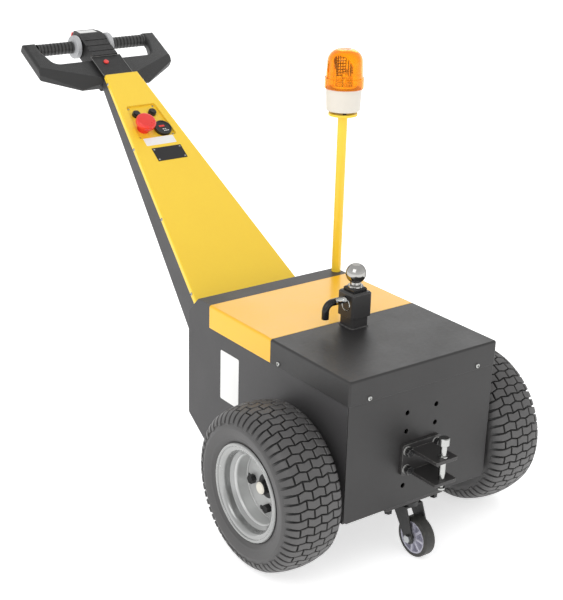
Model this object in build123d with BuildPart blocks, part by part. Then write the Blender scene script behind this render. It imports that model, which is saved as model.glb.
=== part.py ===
"""Electric tow tug: a walk-behind tractor with a receiver ball, a drop-pin hitch and a warning beacon.

Millimetres. +Z up, the hitch face looks to -Y, the tiller reaches back to +Y, the floor is Z = 0.
Places along the machine are given from the drive axle, forward negative, and moved by AXLE_Y.
"""
import os
from math import cos, radians, sin

from build123d import *

os.makedirs("parts", exist_ok=True)

# fits: running shafts, loose seats
FIT_GAP = 0.05
SEAT_GAP = 0.3

# sheet metal
SHEET = 4.0
BEND_R = 8.0
PLATE_T = 8.0
CORNER_R = 6.0

# swivel casters: name, wheel radius
CASTERS = {"front": 50.8, "rear": 44.45}
CASTER_W = 32.0
TREAD_T = 9.0
TREAD_EDGE = 5.0
HUB_INSET = 1.5
HUB_RING_T = 4.5
HUB_BOSS_R = 14.0
HUB_WEB_T = 8.0
HUB_SPOKES = 8
HUB_SPOKE_W = 6.0
CASTER_TRAIL = 42.0
CROWN_GAP = {"front": 21.4, "rear": 5.4}
CROWN_T = 5.0
CROWN_LONG = 52.0
RACE_H = 9.0
RACE_GAP = 0.6
RACE_R = 29.0
RACE_EDGE = 2.0
FORK_T = 4.0
FORK_SIDE_GAP = 7.0
LEG_END_R = 15.0
CASTER_AXLE_R = 6.0
CASTER_NUT_R = 9.0
CASTER_NUT_H = 7.0
KINGPIN_R = 8.0
KINGPIN_CAP = 1.0
CASTER_PLATE_X = 184.0
CASTER_PLATE_Y = 92.0
CASTER_PLATE_SHIFT = 18.0
CASTER_BOLT_X = 146.0
CASTER_BOLT_Y = 64.0
CASTER_BOLT_AF = 17.0
CASTER_BOLT_H = 14.0
CASTER_STACK = CROWN_T + RACE_H + PLATE_T
CASTER_SEAT_Z = {name: 2 * r + CROWN_GAP[name] + CASTER_STACK for name, r in CASTERS.items()}

# body: heights
FLOOR_Z = CASTER_SEAT_Z["front"]
TUB_Z = CASTER_SEAT_Z["rear"]
TOP_Z = 509.0

# body: places along the machine, from the front plate to the rear wall
FACE_Y = -165.0
COVER_LONG = 296.0
HOOD_LONG = 266.0
STRIP_W = 55.0
TOP_CHAMFER_Y = 47.0
TOP_CHAMFER_Z = 48.0
LOW_CHAMFER_Y = 77.0
LOW_CHAMFER_Z = 52.2
STEP_Y = 120.0
STEP_RUN = 40.0
COVER_END_Y = FACE_Y + COVER_LONG
STRIP_Y = COVER_END_Y + HOOD_LONG
CHAMFER_Y = STRIP_Y + STRIP_W
REAR_Y = CHAMFER_Y + TOP_CHAMFER_Y

# body: widths and covers
BODY_HALF = 223.0
COVER_T = 3.0
COVER_GAP = 0.5
COVER_SEAM = 1.0
COVER_BEND_R = 6.0
COVER_EDGE_R = 5.5
FLANGE = 61.0
FRONT_CORNER_CUT = 8.0

# caster places
FRONT_KINGPIN_IN = 29.0
REAR_KINGPIN_IN = 72.0
KINGPIN_Y = {"front": FACE_Y + FRONT_KINGPIN_IN, "rear": REAR_Y - LOW_CHAMFER_Y - REAR_KINGPIN_IN}

# battery and transaxle
BATTERY_SIDE = 53.0
BATTERY_LONG = 190.0
BATTERY_H = 230.0
BATTERY_IN = 30.0
GEAR_X = 150.0
GEAR_Y = 150.0
GEAR_UP = 70.0
MOTOR_R = 55.0
MOTOR_H = 140.0
AXLE_R = 15.0
AXLE_TUBE_R = 27.0
AXLE_TUBE_OUT = 6.0
SHAFT_DEEP = 48.0
SHAFT_END_GAP = 1.0

# drive wheels
TYRE_R = 203.0
TYRE_W = 158.0
TYRE_GAP = 16.0
TREAD_HALF = 60.0
CROWN_DROP = 9.0
SHOULDER_SAG = 5.0
WALL_SAG = 3.0
BEAD_HALF = 65.5
SEAT_R = 101.5
RIM_FLANGE = 18.5
RIM_LIP = 3.0
RIM_T = 4.0
RIM_BEND_R = 4.5
BEAD_BEND_R = 11.0
WELL_DROP = 14.0
WELL_STEP = 44.0
WELL_RUN = 10.0
DISC_OUT = 3.0
PILOT_R = 30.0
PILOT_OUT = 4.0
HUB_IN = 29.5
HUB_T = 12.0
HUB_GAP = 16.0
BOSS_R = 34.0
CAP_R = 17.0
CAP_OUT = 25.0
CAP_EDGE = 4.0
LUG_IN = 44.35
LUG_COUNT = 4
LUG_TURN = 6.2
LUG_AF = 20.0
LUG_H = 13.0
STUD_R = 6.0
HUB_R = SEAT_R - HUB_IN
LUG_CIRCLE_R = SEAT_R - LUG_IN
WHEEL_X = BODY_HALF + TYRE_GAP + TYRE_W / 2

# hitch hole pattern in the front plate
HOLE_X = 90.0
HOLE_PITCH = 47.7
HOLE_LOW = 51.2
HOLE_R = 6.5
HOLE_ROWS = 5
BRACKET_ROW = 1.5

# drop-pin hitch
BRACKET_EDGE = 14.0
BRACKET_H = 80.0
TONGUE_LONG = 89.0
TONGUE_HALF = 33.0
TONGUE_GAP = 49.0
TONGUE_LOW = 38.75
TONGUE_CORNER_R = 5.0
PIN_HOLE_IN = 16.0
DROP_HEAD_R = 13.0
DROP_HEAD_H = 18.0
DROP_HEAD_EDGE = 3.0
DROP_NECK_H = 28.0
DROP_COLLAR_R = 12.0
DROP_COLLAR_H = 5.0
DROP_WAIST_R = 6.5
DROP_R = 8.0
DROP_TIP_R = 5.8
DROP_TIP = 17.0
DROP_RING_R = 10.0
DROP_RING_T = 4.0
BOLT_AF = 19.0
BOLT_H = 12.0
WASHER_R = 11.8
WASHER_T = 2.5
BOLT_TAIL = 10.0

# receiver, ball insert, ball and pin
BALL_IN = 34.0
TUBE_W = 51.0
TUBE_UP = 28.0
COLLAR_W = 60.0
COLLAR_H = 63.0
TUBE_CORNER_R = 7.0
COLLAR_EDGE = 4.0
INSERT_W = 40.0
INSERT_UP = 10.0
INSERT_EDGE = 3.0
BALL_R = 25.0
BALL_UP = 43.5
BALL_FLAT = 2.5
NECK_R = 13.0
BALL_FOOT_R = 19.0
BALL_FOOT_T = 4.5
PIN_R = 9.0
PIN_UP = 45.0
PIN_BEND_R = 20.0
PIN_OUT = 90.0
PIN_DROP = 39.0
PIN_TAIL = 9.0
LATCH_OUT = 62.0
LATCH_TILT = 24.0
LATCH_R = 7.0
LATCH_LONG = 34.0
LATCH_STEM_R = 3.5
LATCH_RING_R = 14.0
LATCH_WIRE_R = 1.6

# handle column: a trough with a folded lid
COL_TOP_Y = 1218.0
COL_TOP_Z = 936.0
COL_TILT = 35.5
COL_HALF = 52.0
COL_FLARE = 0.138
COL_DEPTH = 55.0
COL_GROW = 0.053
COL_OVERRUN = 160.0
LID_T = 2.5
LID_GAP = 0.5
LID_FLANGE = 14.0
LID_BEND_R = 4.0

# control pan let into the lid
PAN_TOP = 130.0
PAN_LONG = 126.0
PAN_TOP_HALF = 48.0
PAN_LOW_HALF = 63.0
PAN_CORNER_R = 7.0
PAN_DEPTH = 7.0
PAN_T = 2.0
STOP_A = 215.0
STOP_X = -30.0
STOP_R = 30.0
STOP_STEM_R = 19.0
STOP_STEM_H = 24.0
STOP_HEAD_H = 17.0
STOP_DOME = 6.0
STOP_CROWN = 1.0
STOP_SKIRT = 9.0
GAUGE_A = 226.0
GAUGE_X = 30.0
GAUGE_R = 26.0
GAUGE_H = 10.0
GAUGE_BEZEL = 3.0
GAUGE_SINK = 2.0
GAUGE_EDGE = 1.0
BUTTON_A = 162.0
BUTTON_X = (-28.0, 26.0)
BUTTON_R = 12.0
BUTTON_CAP_R = 8.5
BUTTON_H = 9.0
BUTTON_CAP_H = 4.0

# tiller head: heights are offsets from the tilted face plane through the column's top
HEAD_TILT = 28.0
HEAD_START = 10.0
HEAD_END = 252.0
HEAD_HALF = 42.0
LAMP_HALF = 50.0
LAMP_END = 104.0
HUMP_TOP = -10.0
LAMP_TOP = -14.0
HEAD_LOW = -70.0
NOSE_START = 210.0
NOSE_DROP = 18.0
NOSE_HALF = 33.0
HEAD_EDGE_R = 4.0
RIDGE_A = (124.0, 150.0, 176.0)
RIDGE_W = 7.0
RIDGE_DEPTH = 3.0
WING_LOW = -58.0
WING_TOP = -24.0
WING_HALF = 227.0
WING_END = 208.0
WING_CORNER_R = 28.0
WING_SWEEP_R = 85.0
WING_EDGE_R = 9.0
WING_ROOT_X = 50.0
WING_ROOT_A = -32.0
WING_TIP_A = 76.0
CREASE_ROOT_A = 17.0
CREASE_TIP_A = 96.0
CREASE_RUN = 45.0
LOOP_X = 184.0
LOOP_LOW_X = 166.0
LOOP_TURN_A = 164.0
LOOP_CORNER_R = 26.0
GRIP_A = 190.0
GRIP_OFF = -41.0
GRIP_R = 17.0
GRIP_END_R = 18.5
GRIP_END_W = 5.0
GRIP_RIBS = 9
GRIP_RIB_UP = 1.2
CORE_R = 9.0
THUMB_R = 35.0
THUMB_W = 17.0
THUMB_IN = 5.0
THUMB_EDGE_R = 4.0
THUMB_GAP = 3.0
BUTTON_LONG = 8.0
BELLY_HALF = 35.0
BELLY_H = 24.0
BELLY_LOW = -62.0
BELLY_EDGE_R = 3.0
LAMP_A = 74.0
LAMP_X = -12.0
LAMP_R = 8.0
LAMP_H = 4.0

# warning beacon on its mast
MAST_IN = 14.0
MAST_FRONT = 24.0
MAST_R = 12.7
MAST_LONG = 432.0
MOUNT_R = 38.0
MOUNT_T = 6.0
SPACER_R = 5.0
SPACER_H = 7.0
SPACER_CIRCLE_R = 27.0
SPACERS = 3
BEACON_R = 47.0
BEACON_LOW_R = 44.0
BEACON_H = 59.0
LENS_R = 51.0
LENS_RING_H = 27.0
LENS_INSET = 3.0
LENS_H = 73.0
LENS_DRAFT = 2.0
DOME_R = 34.0
LENS_T = 4.0
DISH_R = 30.0
DISH_T = 2.0
DISH_UP = 50.0
BULB_R = 9.0
STEM_R = 7.0
FOOT_R = 34.0
FOOT_H = 8.0

# the origin is the middle of the floor outline
TIP_Y = FACE_Y - PLATE_T - TONGUE_LONG
TAIL_UP = HEAD_END + BUTTON_LONG - BELLY_EDGE_R
TAIL_DOWN = -BELLY_LOW - BELLY_EDGE_R
TAIL_Y = COL_TOP_Y + TAIL_UP * cos(radians(HEAD_TILT)) + TAIL_DOWN * sin(radians(HEAD_TILT)) + BELLY_EDGE_R
AXLE_Y = -(TIP_Y + TAIL_Y) / 2


def along(y):
    """Place along the machine, measured from the drive axle."""
    return AXLE_Y + y


def column_plane(a):
    """Section of the handle column at the distance a below its top; local +Y looks into the trough."""
    t = radians(COL_TILT)
    return Plane(
        origin=(0, along(COL_TOP_Y - a * cos(t)), COL_TOP_Z - a * sin(t)),
        x_dir=(1, 0, 0),
        z_dir=(0, cos(t), sin(t)),
    )


def lid_plane(a=0.0, x=0.0, off=0.0):
    """Face of the column lid, the distance a below the top and x to the side; off lifts it outwards."""
    t = radians(COL_TILT)
    y = COL_TOP_Y - a * cos(t) - off * sin(t)
    return Plane(
        origin=(x, along(y), COL_TOP_Z - a * sin(t) + off * cos(t)),
        x_dir=(1, 0, 0),
        z_dir=(0, -sin(t), cos(t)),
    )


def head_plane(off=0.0):
    """Face plane of the tiller head; local +Y runs up the head, off lifts it to the operator's eye."""
    t = radians(HEAD_TILT)
    return Plane(
        origin=(0, along(COL_TOP_Y) - off * sin(t), COL_TOP_Z + off * cos(t)),
        x_dir=(1, 0, 0),
        z_dir=(0, -sin(t), cos(t)),
    )


def head_point(x, a, off):
    """Point of the tiller head."""
    return head_plane(off).from_local_coords(Vector(x, a, 0))


def head_side(x, a=0.0, off=0.0):
    """Plane across the tiller head; its normal is +X, local +X runs up the head, local +Y lifts."""
    t = radians(HEAD_TILT)
    return Plane(origin=head_point(x, a, off), x_dir=(0, cos(t), sin(t)), z_dir=(1, 0, 0))


def x_plane(x, y, z):
    """Plane across the machine; its normal is +X."""
    return Plane(origin=(x, along(y), z), x_dir=(0, 1, 0), z_dir=(1, 0, 0))


def y_plane(x, y, z):
    """Upright plane that looks forward; its normal is -Y."""
    return Plane(origin=(x, along(y), z), x_dir=(1, 0, 0), z_dir=(0, -1, 0))


def z_plane(x, y, z):
    """Level plane at the height z."""
    return Plane(origin=(x, along(y), z), x_dir=(1, 0, 0), z_dir=(0, 0, 1))


def turned(x, y):
    """Upright half plane for a profile turned about the line up through x, y; local +Y is up."""
    return Plane(origin=(x, along(y), 0), x_dir=(1, 0, 0), z_dir=(0, -1, 0))


def save(builder, name):
    """Label a finished node and write its file."""
    builder.part.label = name
    export_step(builder.part, f"parts/{name}.step")


# body shell: one bent sheet for floor, tub, rear wall and strip, closed by two side plates, open in front
shell_front = along(FACE_Y + SHEET)
with BuildPart() as body_shell:
    with BuildSketch(Plane.YZ.offset(-BODY_HALF)) as side_outline:
        with BuildLine():
            Polyline(
                (shell_front, FLOOR_Z),
                (along(STEP_Y), FLOOR_Z),
                (along(STEP_Y + STEP_RUN), TUB_Z),
                (along(REAR_Y - LOW_CHAMFER_Y), TUB_Z),
                (along(REAR_Y), TUB_Z + LOW_CHAMFER_Z),
                (along(REAR_Y), TOP_Z - TOP_CHAMFER_Z),
                (along(CHAMFER_Y), TOP_Z),
                (shell_front, TOP_Z),
                close=True,
            )
        make_face()
        fillet(side_outline.vertices().sort_by(Axis.X)[2:], BEND_R)
    extrude(amount=2 * BODY_HALF)
    offset(amount=-SHEET, openings=body_shell.faces().sort_by(Axis.Y)[0])
    covered_y = (FACE_Y + SHEET + STRIP_Y) / 2
    for half, depth in ((BODY_HALF, COVER_T), (BODY_HALF - SHEET, SHEET)):
        with BuildSketch(z_plane(0, covered_y, TOP_Z)):
            Rectangle(2 * half, STRIP_Y - FACE_Y - SHEET)
        extrude(amount=-depth, mode=Mode.SUBTRACT)
    with BuildSketch(x_plane(-BODY_HALF, 0, TYRE_R)):
        Circle(AXLE_TUBE_R + SEAT_GAP)
    extrude(amount=2 * BODY_HALF, mode=Mode.SUBTRACT)
save(body_shell, "body_shell")

# front plate with the hitch hole pattern
plate_h = TOP_Z - COVER_T - FLOOR_Z
hole_mid_z = FLOOR_Z + HOLE_LOW + HOLE_PITCH * (HOLE_ROWS - 1) / 2
with BuildPart() as front_plate:
    with BuildSketch(y_plane(0, FACE_Y + SHEET, FLOOR_Z + plate_h / 2)) as face:
        Rectangle(2 * BODY_HALF, plate_h)
        chamfer(face.vertices().group_by(Axis.Y)[0], FRONT_CORNER_CUT)
    extrude(amount=SHEET)
    with BuildSketch(y_plane(0, FACE_Y + SHEET, hole_mid_z)):
        with GridLocations(HOLE_X, HOLE_PITCH, 2, HOLE_ROWS):
            Circle(HOLE_R)
    extrude(amount=SHEET, mode=Mode.SUBTRACT)
save(front_plate, "front_plate")

# front cover: a tray turned over the front of the shell
cover_half = BODY_HALF + COVER_GAP + COVER_T
cover_y0 = FACE_Y - COVER_GAP - COVER_T
with BuildPart() as front_cover:
    with BuildSketch(z_plane(0, (cover_y0 + COVER_END_Y) / 2, TOP_Z - FLANGE)):
        Rectangle(2 * cover_half, COVER_END_Y - cover_y0)
    extrude(amount=FLANGE)
    fillet(front_cover.edges().filter_by(Axis.Z).group_by(Axis.Y)[0], COVER_BEND_R)
    fillet(front_cover.faces().sort_by(Axis.Z)[-1].edges().sort_by(Axis.Y)[:-1], COVER_EDGE_R)
    with BuildSketch(z_plane(0, (FACE_Y - COVER_GAP + COVER_END_Y) / 2, TOP_Z - FLANGE)):
        Rectangle(2 * (BODY_HALF + COVER_GAP), COVER_END_Y - FACE_Y + COVER_GAP)
    extrude(amount=FLANGE - COVER_T, mode=Mode.SUBTRACT)
save(front_cover, "front_cover")

# battery hood: a saddle over the battery space
hood_long = HOOD_LONG - 2 * COVER_SEAM
with BuildPart() as battery_hood:
    with BuildSketch(z_plane(0, (COVER_END_Y + STRIP_Y) / 2, TOP_Z - FLANGE)):
        Rectangle(2 * cover_half, hood_long)
    extrude(amount=FLANGE)
    fillet(battery_hood.faces().sort_by(Axis.Z)[-1].edges().filter_by(Axis.Y), COVER_BEND_R)
    with BuildSketch(z_plane(0, (COVER_END_Y + STRIP_Y) / 2, TOP_Z - FLANGE)):
        Rectangle(2 * (BODY_HALF + COVER_GAP), hood_long)
    extrude(amount=FLANGE - COVER_T, mode=Mode.SUBTRACT)
save(battery_hood, "battery_hood")

# battery block and transaxle inside the shell
with BuildPart() as battery_pack:
    with BuildSketch(z_plane(0, STEP_Y + STEP_RUN + BATTERY_IN + BATTERY_LONG / 2, TUB_Z + SHEET)):
        Rectangle(2 * (BODY_HALF - BATTERY_SIDE), BATTERY_LONG)
    extrude(amount=BATTERY_H)
save(battery_pack, "battery_pack")

tube_end = BODY_HALF + AXLE_TUBE_OUT
shaft_in = BODY_HALF - SHAFT_DEEP
with BuildPart() as drive_unit:
    with BuildSketch(z_plane(0, 0, FLOOR_Z + SHEET)):
        RectangleRounded(GEAR_X, GEAR_Y, CORNER_R)
    extrude(amount=TYRE_R + GEAR_UP - FLOOR_Z - SHEET)
    with BuildSketch(z_plane(0, 0, TYRE_R + GEAR_UP)):
        Circle(MOTOR_R)
    extrude(amount=MOTOR_H)
    with BuildSketch(x_plane(-tube_end, 0, TYRE_R)):
        Circle(AXLE_TUBE_R)
    extrude(amount=2 * tube_end)
    for x in (-tube_end, shaft_in - SHAFT_END_GAP):
        with BuildSketch(x_plane(x, 0, TYRE_R)):
            Circle(AXLE_R + FIT_GAP)
        extrude(amount=tube_end - shaft_in + SHAFT_END_GAP, mode=Mode.SUBTRACT)
save(drive_unit, "drive_unit")

# handle column: a tapered trough that runs out on the rear wall
col_long = (COL_TOP_Y - REAR_Y) / cos(radians(COL_TILT)) + COL_OVERRUN
depth_axis = Axis((0, 0, 0), column_plane(0).y_dir)
with BuildPart() as handle_column:
    for a in (0.0, col_long):
        depth = COL_DEPTH + COL_GROW * a
        with BuildSketch(column_plane(a)):
            with Locations((0, (depth + LID_T) / 2)):
                Rectangle(2 * (COL_HALF + COL_FLARE * a), depth - LID_T)
    loft()
    fillet(handle_column.edges().sort_by(SortBy.LENGTH)[-4:].sort_by(depth_axis)[-2:], BEND_R)
    for a in (SHEET, col_long + SHEET):
        depth = COL_DEPTH + COL_GROW * a - SHEET
        with BuildSketch(column_plane(a)):
            with Locations((0, depth / 2)):
                Rectangle(2 * (COL_HALF + COL_FLARE * a - SHEET), depth)
    loft(mode=Mode.SUBTRACT)
    split(bisect_by=Plane((0, along(REAR_Y), 0), z_dir=(0, 1, 0)), keep=Keep.TOP)
save(handle_column, "handle_column")

# lid of the column with folded edges and the window of the control pan
window = [
    (-PAN_TOP_HALF, -PAN_TOP),
    (PAN_TOP_HALF, -PAN_TOP),
    (PAN_LOW_HALF, -PAN_TOP - PAN_LONG),
    (-PAN_LOW_HALF, -PAN_TOP - PAN_LONG),
]
lid_half = COL_HALF + LID_GAP + LID_T
with BuildPart() as column_cover:
    for a in (0.0, col_long):
        with BuildSketch(column_plane(a)):
            with Locations((0, LID_FLANGE / 2)):
                Rectangle(2 * (lid_half + COL_FLARE * a), LID_FLANGE)
    loft()
    fillet(column_cover.edges().sort_by(SortBy.LENGTH)[-4:].sort_by(depth_axis)[:2], LID_BEND_R)
    for a in (-SHEET, col_long + SHEET):
        with BuildSketch(column_plane(a)):
            with Locations((0, LID_T + LID_FLANGE / 2)):
                Rectangle(2 * (lid_half - LID_T + COL_FLARE * a), LID_FLANGE)
    loft(mode=Mode.SUBTRACT)
    split(bisect_by=Plane((0, along(REAR_Y) + LID_GAP, 0), z_dir=(0, 1, 0)), keep=Keep.TOP)
    with BuildSketch(lid_plane()) as opening:
        with BuildLine():
            Polyline(*window, close=True)
        make_face()
        fillet(opening.vertices(), PAN_CORNER_R)
    extrude(amount=-LID_T, mode=Mode.SUBTRACT)
save(column_cover, "column_cover")

# control pan: a pressed tray under the window
with BuildPart() as control_panel:
    with BuildSketch(lid_plane(off=-LID_T)) as tray:
        with BuildLine():
            Polyline(*window, close=True)
        make_face()
        fillet(tray.vertices(), PAN_CORNER_R)
        offset(amount=PAN_T, kind=Kind.ARC)
    extrude(amount=LID_T - PAN_DEPTH - PAN_T)
    with BuildSketch(lid_plane(off=-LID_T)) as hollow:
        with BuildLine():
            Polyline(*window, close=True)
        make_face()
        fillet(hollow.vertices(), PAN_CORNER_R)
    extrude(amount=LID_T - PAN_DEPTH, mode=Mode.SUBTRACT)
save(control_panel, "control_panel")

# stop button: a mushroom head on a stem
stop_axis = lid_plane(STOP_A, STOP_X, -PAN_DEPTH)
with BuildPart() as emergency_stop:
    with BuildSketch(Plane(origin=stop_axis.origin, x_dir=(1, 0, 0), z_dir=-stop_axis.y_dir)):
        with BuildLine():
            head_z = STOP_STEM_H + STOP_HEAD_H
            Polyline(
                (0, head_z),
                (0, 0),
                (STOP_STEM_R, 0),
                (STOP_STEM_R, STOP_STEM_H),
                (STOP_R, STOP_STEM_H),
                (STOP_R, STOP_STEM_H + STOP_SKIRT),
            )
            crown = (STOP_R - STOP_DOME, head_z - STOP_CROWN)
            RadiusArc((STOP_R, STOP_STEM_H + STOP_SKIRT), crown, -STOP_SKIRT)
            Line(crown, (0, head_z))
        make_face()
    revolve(axis=Axis(stop_axis.origin, stop_axis.z_dir))
save(emergency_stop, "emergency_stop")

# charge gauge: a bezel round a sunk dial
with BuildPart() as key_gauge:
    with BuildSketch(lid_plane(GAUGE_A, GAUGE_X, -PAN_DEPTH)):
        Circle(GAUGE_R)
    extrude(amount=GAUGE_H)
    with BuildSketch(lid_plane(GAUGE_A, GAUGE_X, GAUGE_H - PAN_DEPTH)):
        Circle(GAUGE_R - GAUGE_BEZEL)
    extrude(amount=-GAUGE_SINK, mode=Mode.SUBTRACT)
    bezel = key_gauge.edges().filter_by(GeomType.CIRCLE).sort_by(Axis((0, 0, 0), lid_plane().z_dir))[-1]
    chamfer(bezel, GAUGE_EDGE)
save(key_gauge, "key_gauge")

with BuildPart() as panel_buttons:
    for x in BUTTON_X:
        for r, low, high in ((BUTTON_R, 0, BUTTON_H), (BUTTON_CAP_R, BUTTON_H, BUTTON_H + BUTTON_CAP_H)):
            with BuildSketch(lid_plane(BUTTON_A, x, low - PAN_DEPTH)):
                Circle(r)
            extrude(amount=high - low)
save(panel_buttons, "panel_buttons")

# tiller guard: a moulded wing round two finger loops, with a facet below each crease
lift = Axis((0, 0, 0), head_plane().z_dir)
reach = Axis((0, 0, 0), head_plane().y_dir)
crease = head_point(WING_HALF, CREASE_TIP_A, WING_TOP) - head_point(WING_ROOT_X, CREASE_ROOT_A, WING_TOP)
with BuildPart() as tiller_frame:
    with BuildSketch(head_plane(WING_LOW)) as wing:
        with BuildLine():
            Polyline(
                (0, HEAD_START),
                (LAMP_HALF, HEAD_START),
                (LAMP_HALF, LAMP_END),
                (LOOP_LOW_X, LAMP_END),
                (LOOP_X, LOOP_TURN_A),
                (LOOP_X, WING_END),
                (WING_HALF, WING_END),
                (WING_HALF, WING_TIP_A),
                (WING_ROOT_X, WING_ROOT_A),
                (0, WING_ROOT_A),
                close=True,
            )
        make_face()
        columns = wing.vertices().group_by(Axis.X)
        fillet(columns[-3], LOOP_CORNER_R)
        fillet(columns[-1].sort_by(Axis.Y)[0], WING_SWEEP_R)
        fillet(columns[-1].sort_by(Axis.Y)[1], WING_CORNER_R)
        mirror(about=Plane.YZ)
    extrude(amount=WING_TOP - WING_LOW)
    for face in (tiller_frame.faces().sort_by(lift)[0], tiller_frame.faces().sort_by(lift)[-1]):
        round_edges = face.edges().filter_by(lambda edge: abs(edge.center().X) > WING_ROOT_X + WING_EDGE_R)
        fillet(round_edges.sort_by(reach)[2:], WING_EDGE_R)
    for side in (-1, 1):
        run = Vector(side * crease.X, crease.Y, crease.Z)
        fall = head_point(0, -CREASE_RUN, WING_LOW) - head_point(0, 0, WING_TOP)
        facet = Plane(head_point(side * WING_ROOT_X, CREASE_ROOT_A, WING_TOP), run, run.cross(fall) * side)
        split(bisect_by=facet, keep=Keep.TOP)
    split(bisect_by=column_plane(0), keep=Keep.TOP)
save(tiller_frame, "tiller_frame")

# console: the side outline crossed with the plan outline, with ridges over the hump
with BuildPart() as tiller_console:
    with BuildSketch(head_side(-LAMP_HALF)):
        with BuildLine():
            Polyline(
                (HEAD_START, HEAD_LOW),
                (HEAD_START, LAMP_TOP),
                (LAMP_END, LAMP_TOP),
                (LAMP_END, HUMP_TOP),
                (NOSE_START, HUMP_TOP),
                (HEAD_END, HUMP_TOP - NOSE_DROP),
                (HEAD_END, HEAD_LOW),
                close=True,
            )
        make_face()
        for a in RIDGE_A:
            with Locations((a, HUMP_TOP)):
                Triangle(a=RIDGE_W, B=90, c=RIDGE_DEPTH, rotation=180, mode=Mode.SUBTRACT)
    extrude(amount=2 * LAMP_HALF)
    with BuildSketch(head_plane(HEAD_LOW)) as plan:
        with BuildLine():
            Polyline(
                (0, HEAD_START),
                (LAMP_HALF, HEAD_START),
                (LAMP_HALF, LAMP_END),
                (HEAD_HALF, LAMP_END),
                (HEAD_HALF, NOSE_START + (HEAD_END - NOSE_START) / 2),
                (NOSE_HALF, HEAD_END),
                (0, HEAD_END),
                close=True,
            )
        make_face()
        mirror(about=Plane.YZ)
    extrude(amount=HUMP_TOP - HEAD_LOW, mode=Mode.INTERSECT)
    nose = tiller_console.faces().sort_by(reach)[-1]
    fillet(nose.edges(), HEAD_EDGE_R)
save(tiller_console, "tiller_console")

# grips: ribbed sleeves on a core that runs into the console
grip_step = (LOOP_X - HEAD_HALF - THUMB_IN - THUMB_W - THUMB_GAP - 2 * GRIP_END_W) / GRIP_RIBS
with BuildPart() as tiller_grips:
    for side in (-1, 1):
        base = head_point(side * HEAD_HALF, GRIP_A, GRIP_OFF)
        with BuildSketch(Plane(origin=base, x_dir=(side, 0, 0), z_dir=head_side(0).x_dir * side)):
            sleeve = THUMB_IN + THUMB_W + THUMB_GAP
            with Locations(((LOOP_X - HEAD_HALF) / 2, CORE_R / 2)):
                Rectangle(LOOP_X - HEAD_HALF, CORE_R)
            with Locations(((sleeve + LOOP_X - HEAD_HALF) / 2, GRIP_R / 2)):
                Rectangle(LOOP_X - HEAD_HALF - sleeve, GRIP_R)
            for w in (sleeve + GRIP_END_W / 2, LOOP_X - HEAD_HALF - GRIP_END_W / 2):
                with Locations((w, GRIP_END_R / 2)):
                    Rectangle(GRIP_END_W, GRIP_END_R)
            for i in range(GRIP_RIBS):
                with Locations((sleeve + GRIP_END_W + (i + 0.5) * grip_step, (GRIP_R + GRIP_RIB_UP) / 2)):
                    Rectangle(grip_step / 2, GRIP_R + GRIP_RIB_UP)
        revolve(axis=Axis(base, (1, 0, 0)))
save(tiller_grips, "tiller_grips")

# thumb wheels beside the console
with BuildPart() as thumb_wheels:
    for x in (-HEAD_HALF - THUMB_IN - THUMB_W, HEAD_HALF + THUMB_IN):
        with BuildSketch(head_side(x, GRIP_A, GRIP_OFF)):
            Circle(THUMB_R)
        extrude(amount=THUMB_W)
    fillet(thumb_wheels.edges().filter_by(GeomType.CIRCLE), THUMB_EDGE_R)
    with BuildSketch(head_side(-LOOP_X, GRIP_A, GRIP_OFF)):
        Circle(CORE_R)
    extrude(amount=2 * LOOP_X, mode=Mode.SUBTRACT)
save(thumb_wheels, "thumb_wheels")

# reversing button on the nose and lamp on the console
with BuildPart() as reverse_button:
    with BuildSketch(head_plane(BELLY_LOW)):
        with Locations((0, HEAD_END + BUTTON_LONG / 2)):
            Rectangle(2 * BELLY_HALF, BUTTON_LONG)
    extrude(amount=BELLY_H)
    fillet(reverse_button.faces().sort_by(reach)[-1].edges(), BELLY_EDGE_R)
save(reverse_button, "reverse_button")

with BuildPart() as status_lamp:
    with BuildSketch(head_plane(LAMP_TOP)):
        with Locations((LAMP_X, LAMP_A)):
            Circle(LAMP_R)
    extrude(amount=LAMP_H)
    fillet(status_lamp.edges().sort_by(lift)[-1], LAMP_H / 2)
save(status_lamp, "status_lamp")

# warning beacon: mast, plate on spacers, turned base, domed lens, dish and bulb
mast_x = BODY_HALF - MAST_IN
mast_y = CHAMFER_Y - MAST_FRONT
mount_z = TOP_Z + MAST_LONG
base_z = mount_z + MOUNT_T + SPACER_H
lens_z = base_z + BEACON_H
with BuildPart() as beacon_mast:
    with BuildSketch(z_plane(mast_x, mast_y, TOP_Z)):
        Circle(MAST_R)
    extrude(amount=MAST_LONG)
save(beacon_mast, "beacon_mast")

with BuildPart() as beacon_bracket:
    with BuildSketch(z_plane(mast_x, mast_y, mount_z)):
        Circle(MOUNT_R)
    extrude(amount=MOUNT_T)
    with BuildSketch(z_plane(mast_x, mast_y, mount_z + MOUNT_T)):
        with PolarLocations(SPACER_CIRCLE_R, SPACERS):
            Circle(SPACER_R)
    extrude(amount=SPACER_H)
save(beacon_bracket, "beacon_bracket")

with BuildPart() as beacon_base:
    with BuildSketch(z_plane(mast_x, mast_y, base_z)):
        Circle(BEACON_LOW_R)
    with BuildSketch(z_plane(mast_x, mast_y, lens_z)):
        Circle(BEACON_R)
    loft()
    fillet(beacon_base.edges().sort_by(Axis.Z)[0], BEACON_R - BEACON_LOW_R)
save(beacon_base, "beacon_base")

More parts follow.
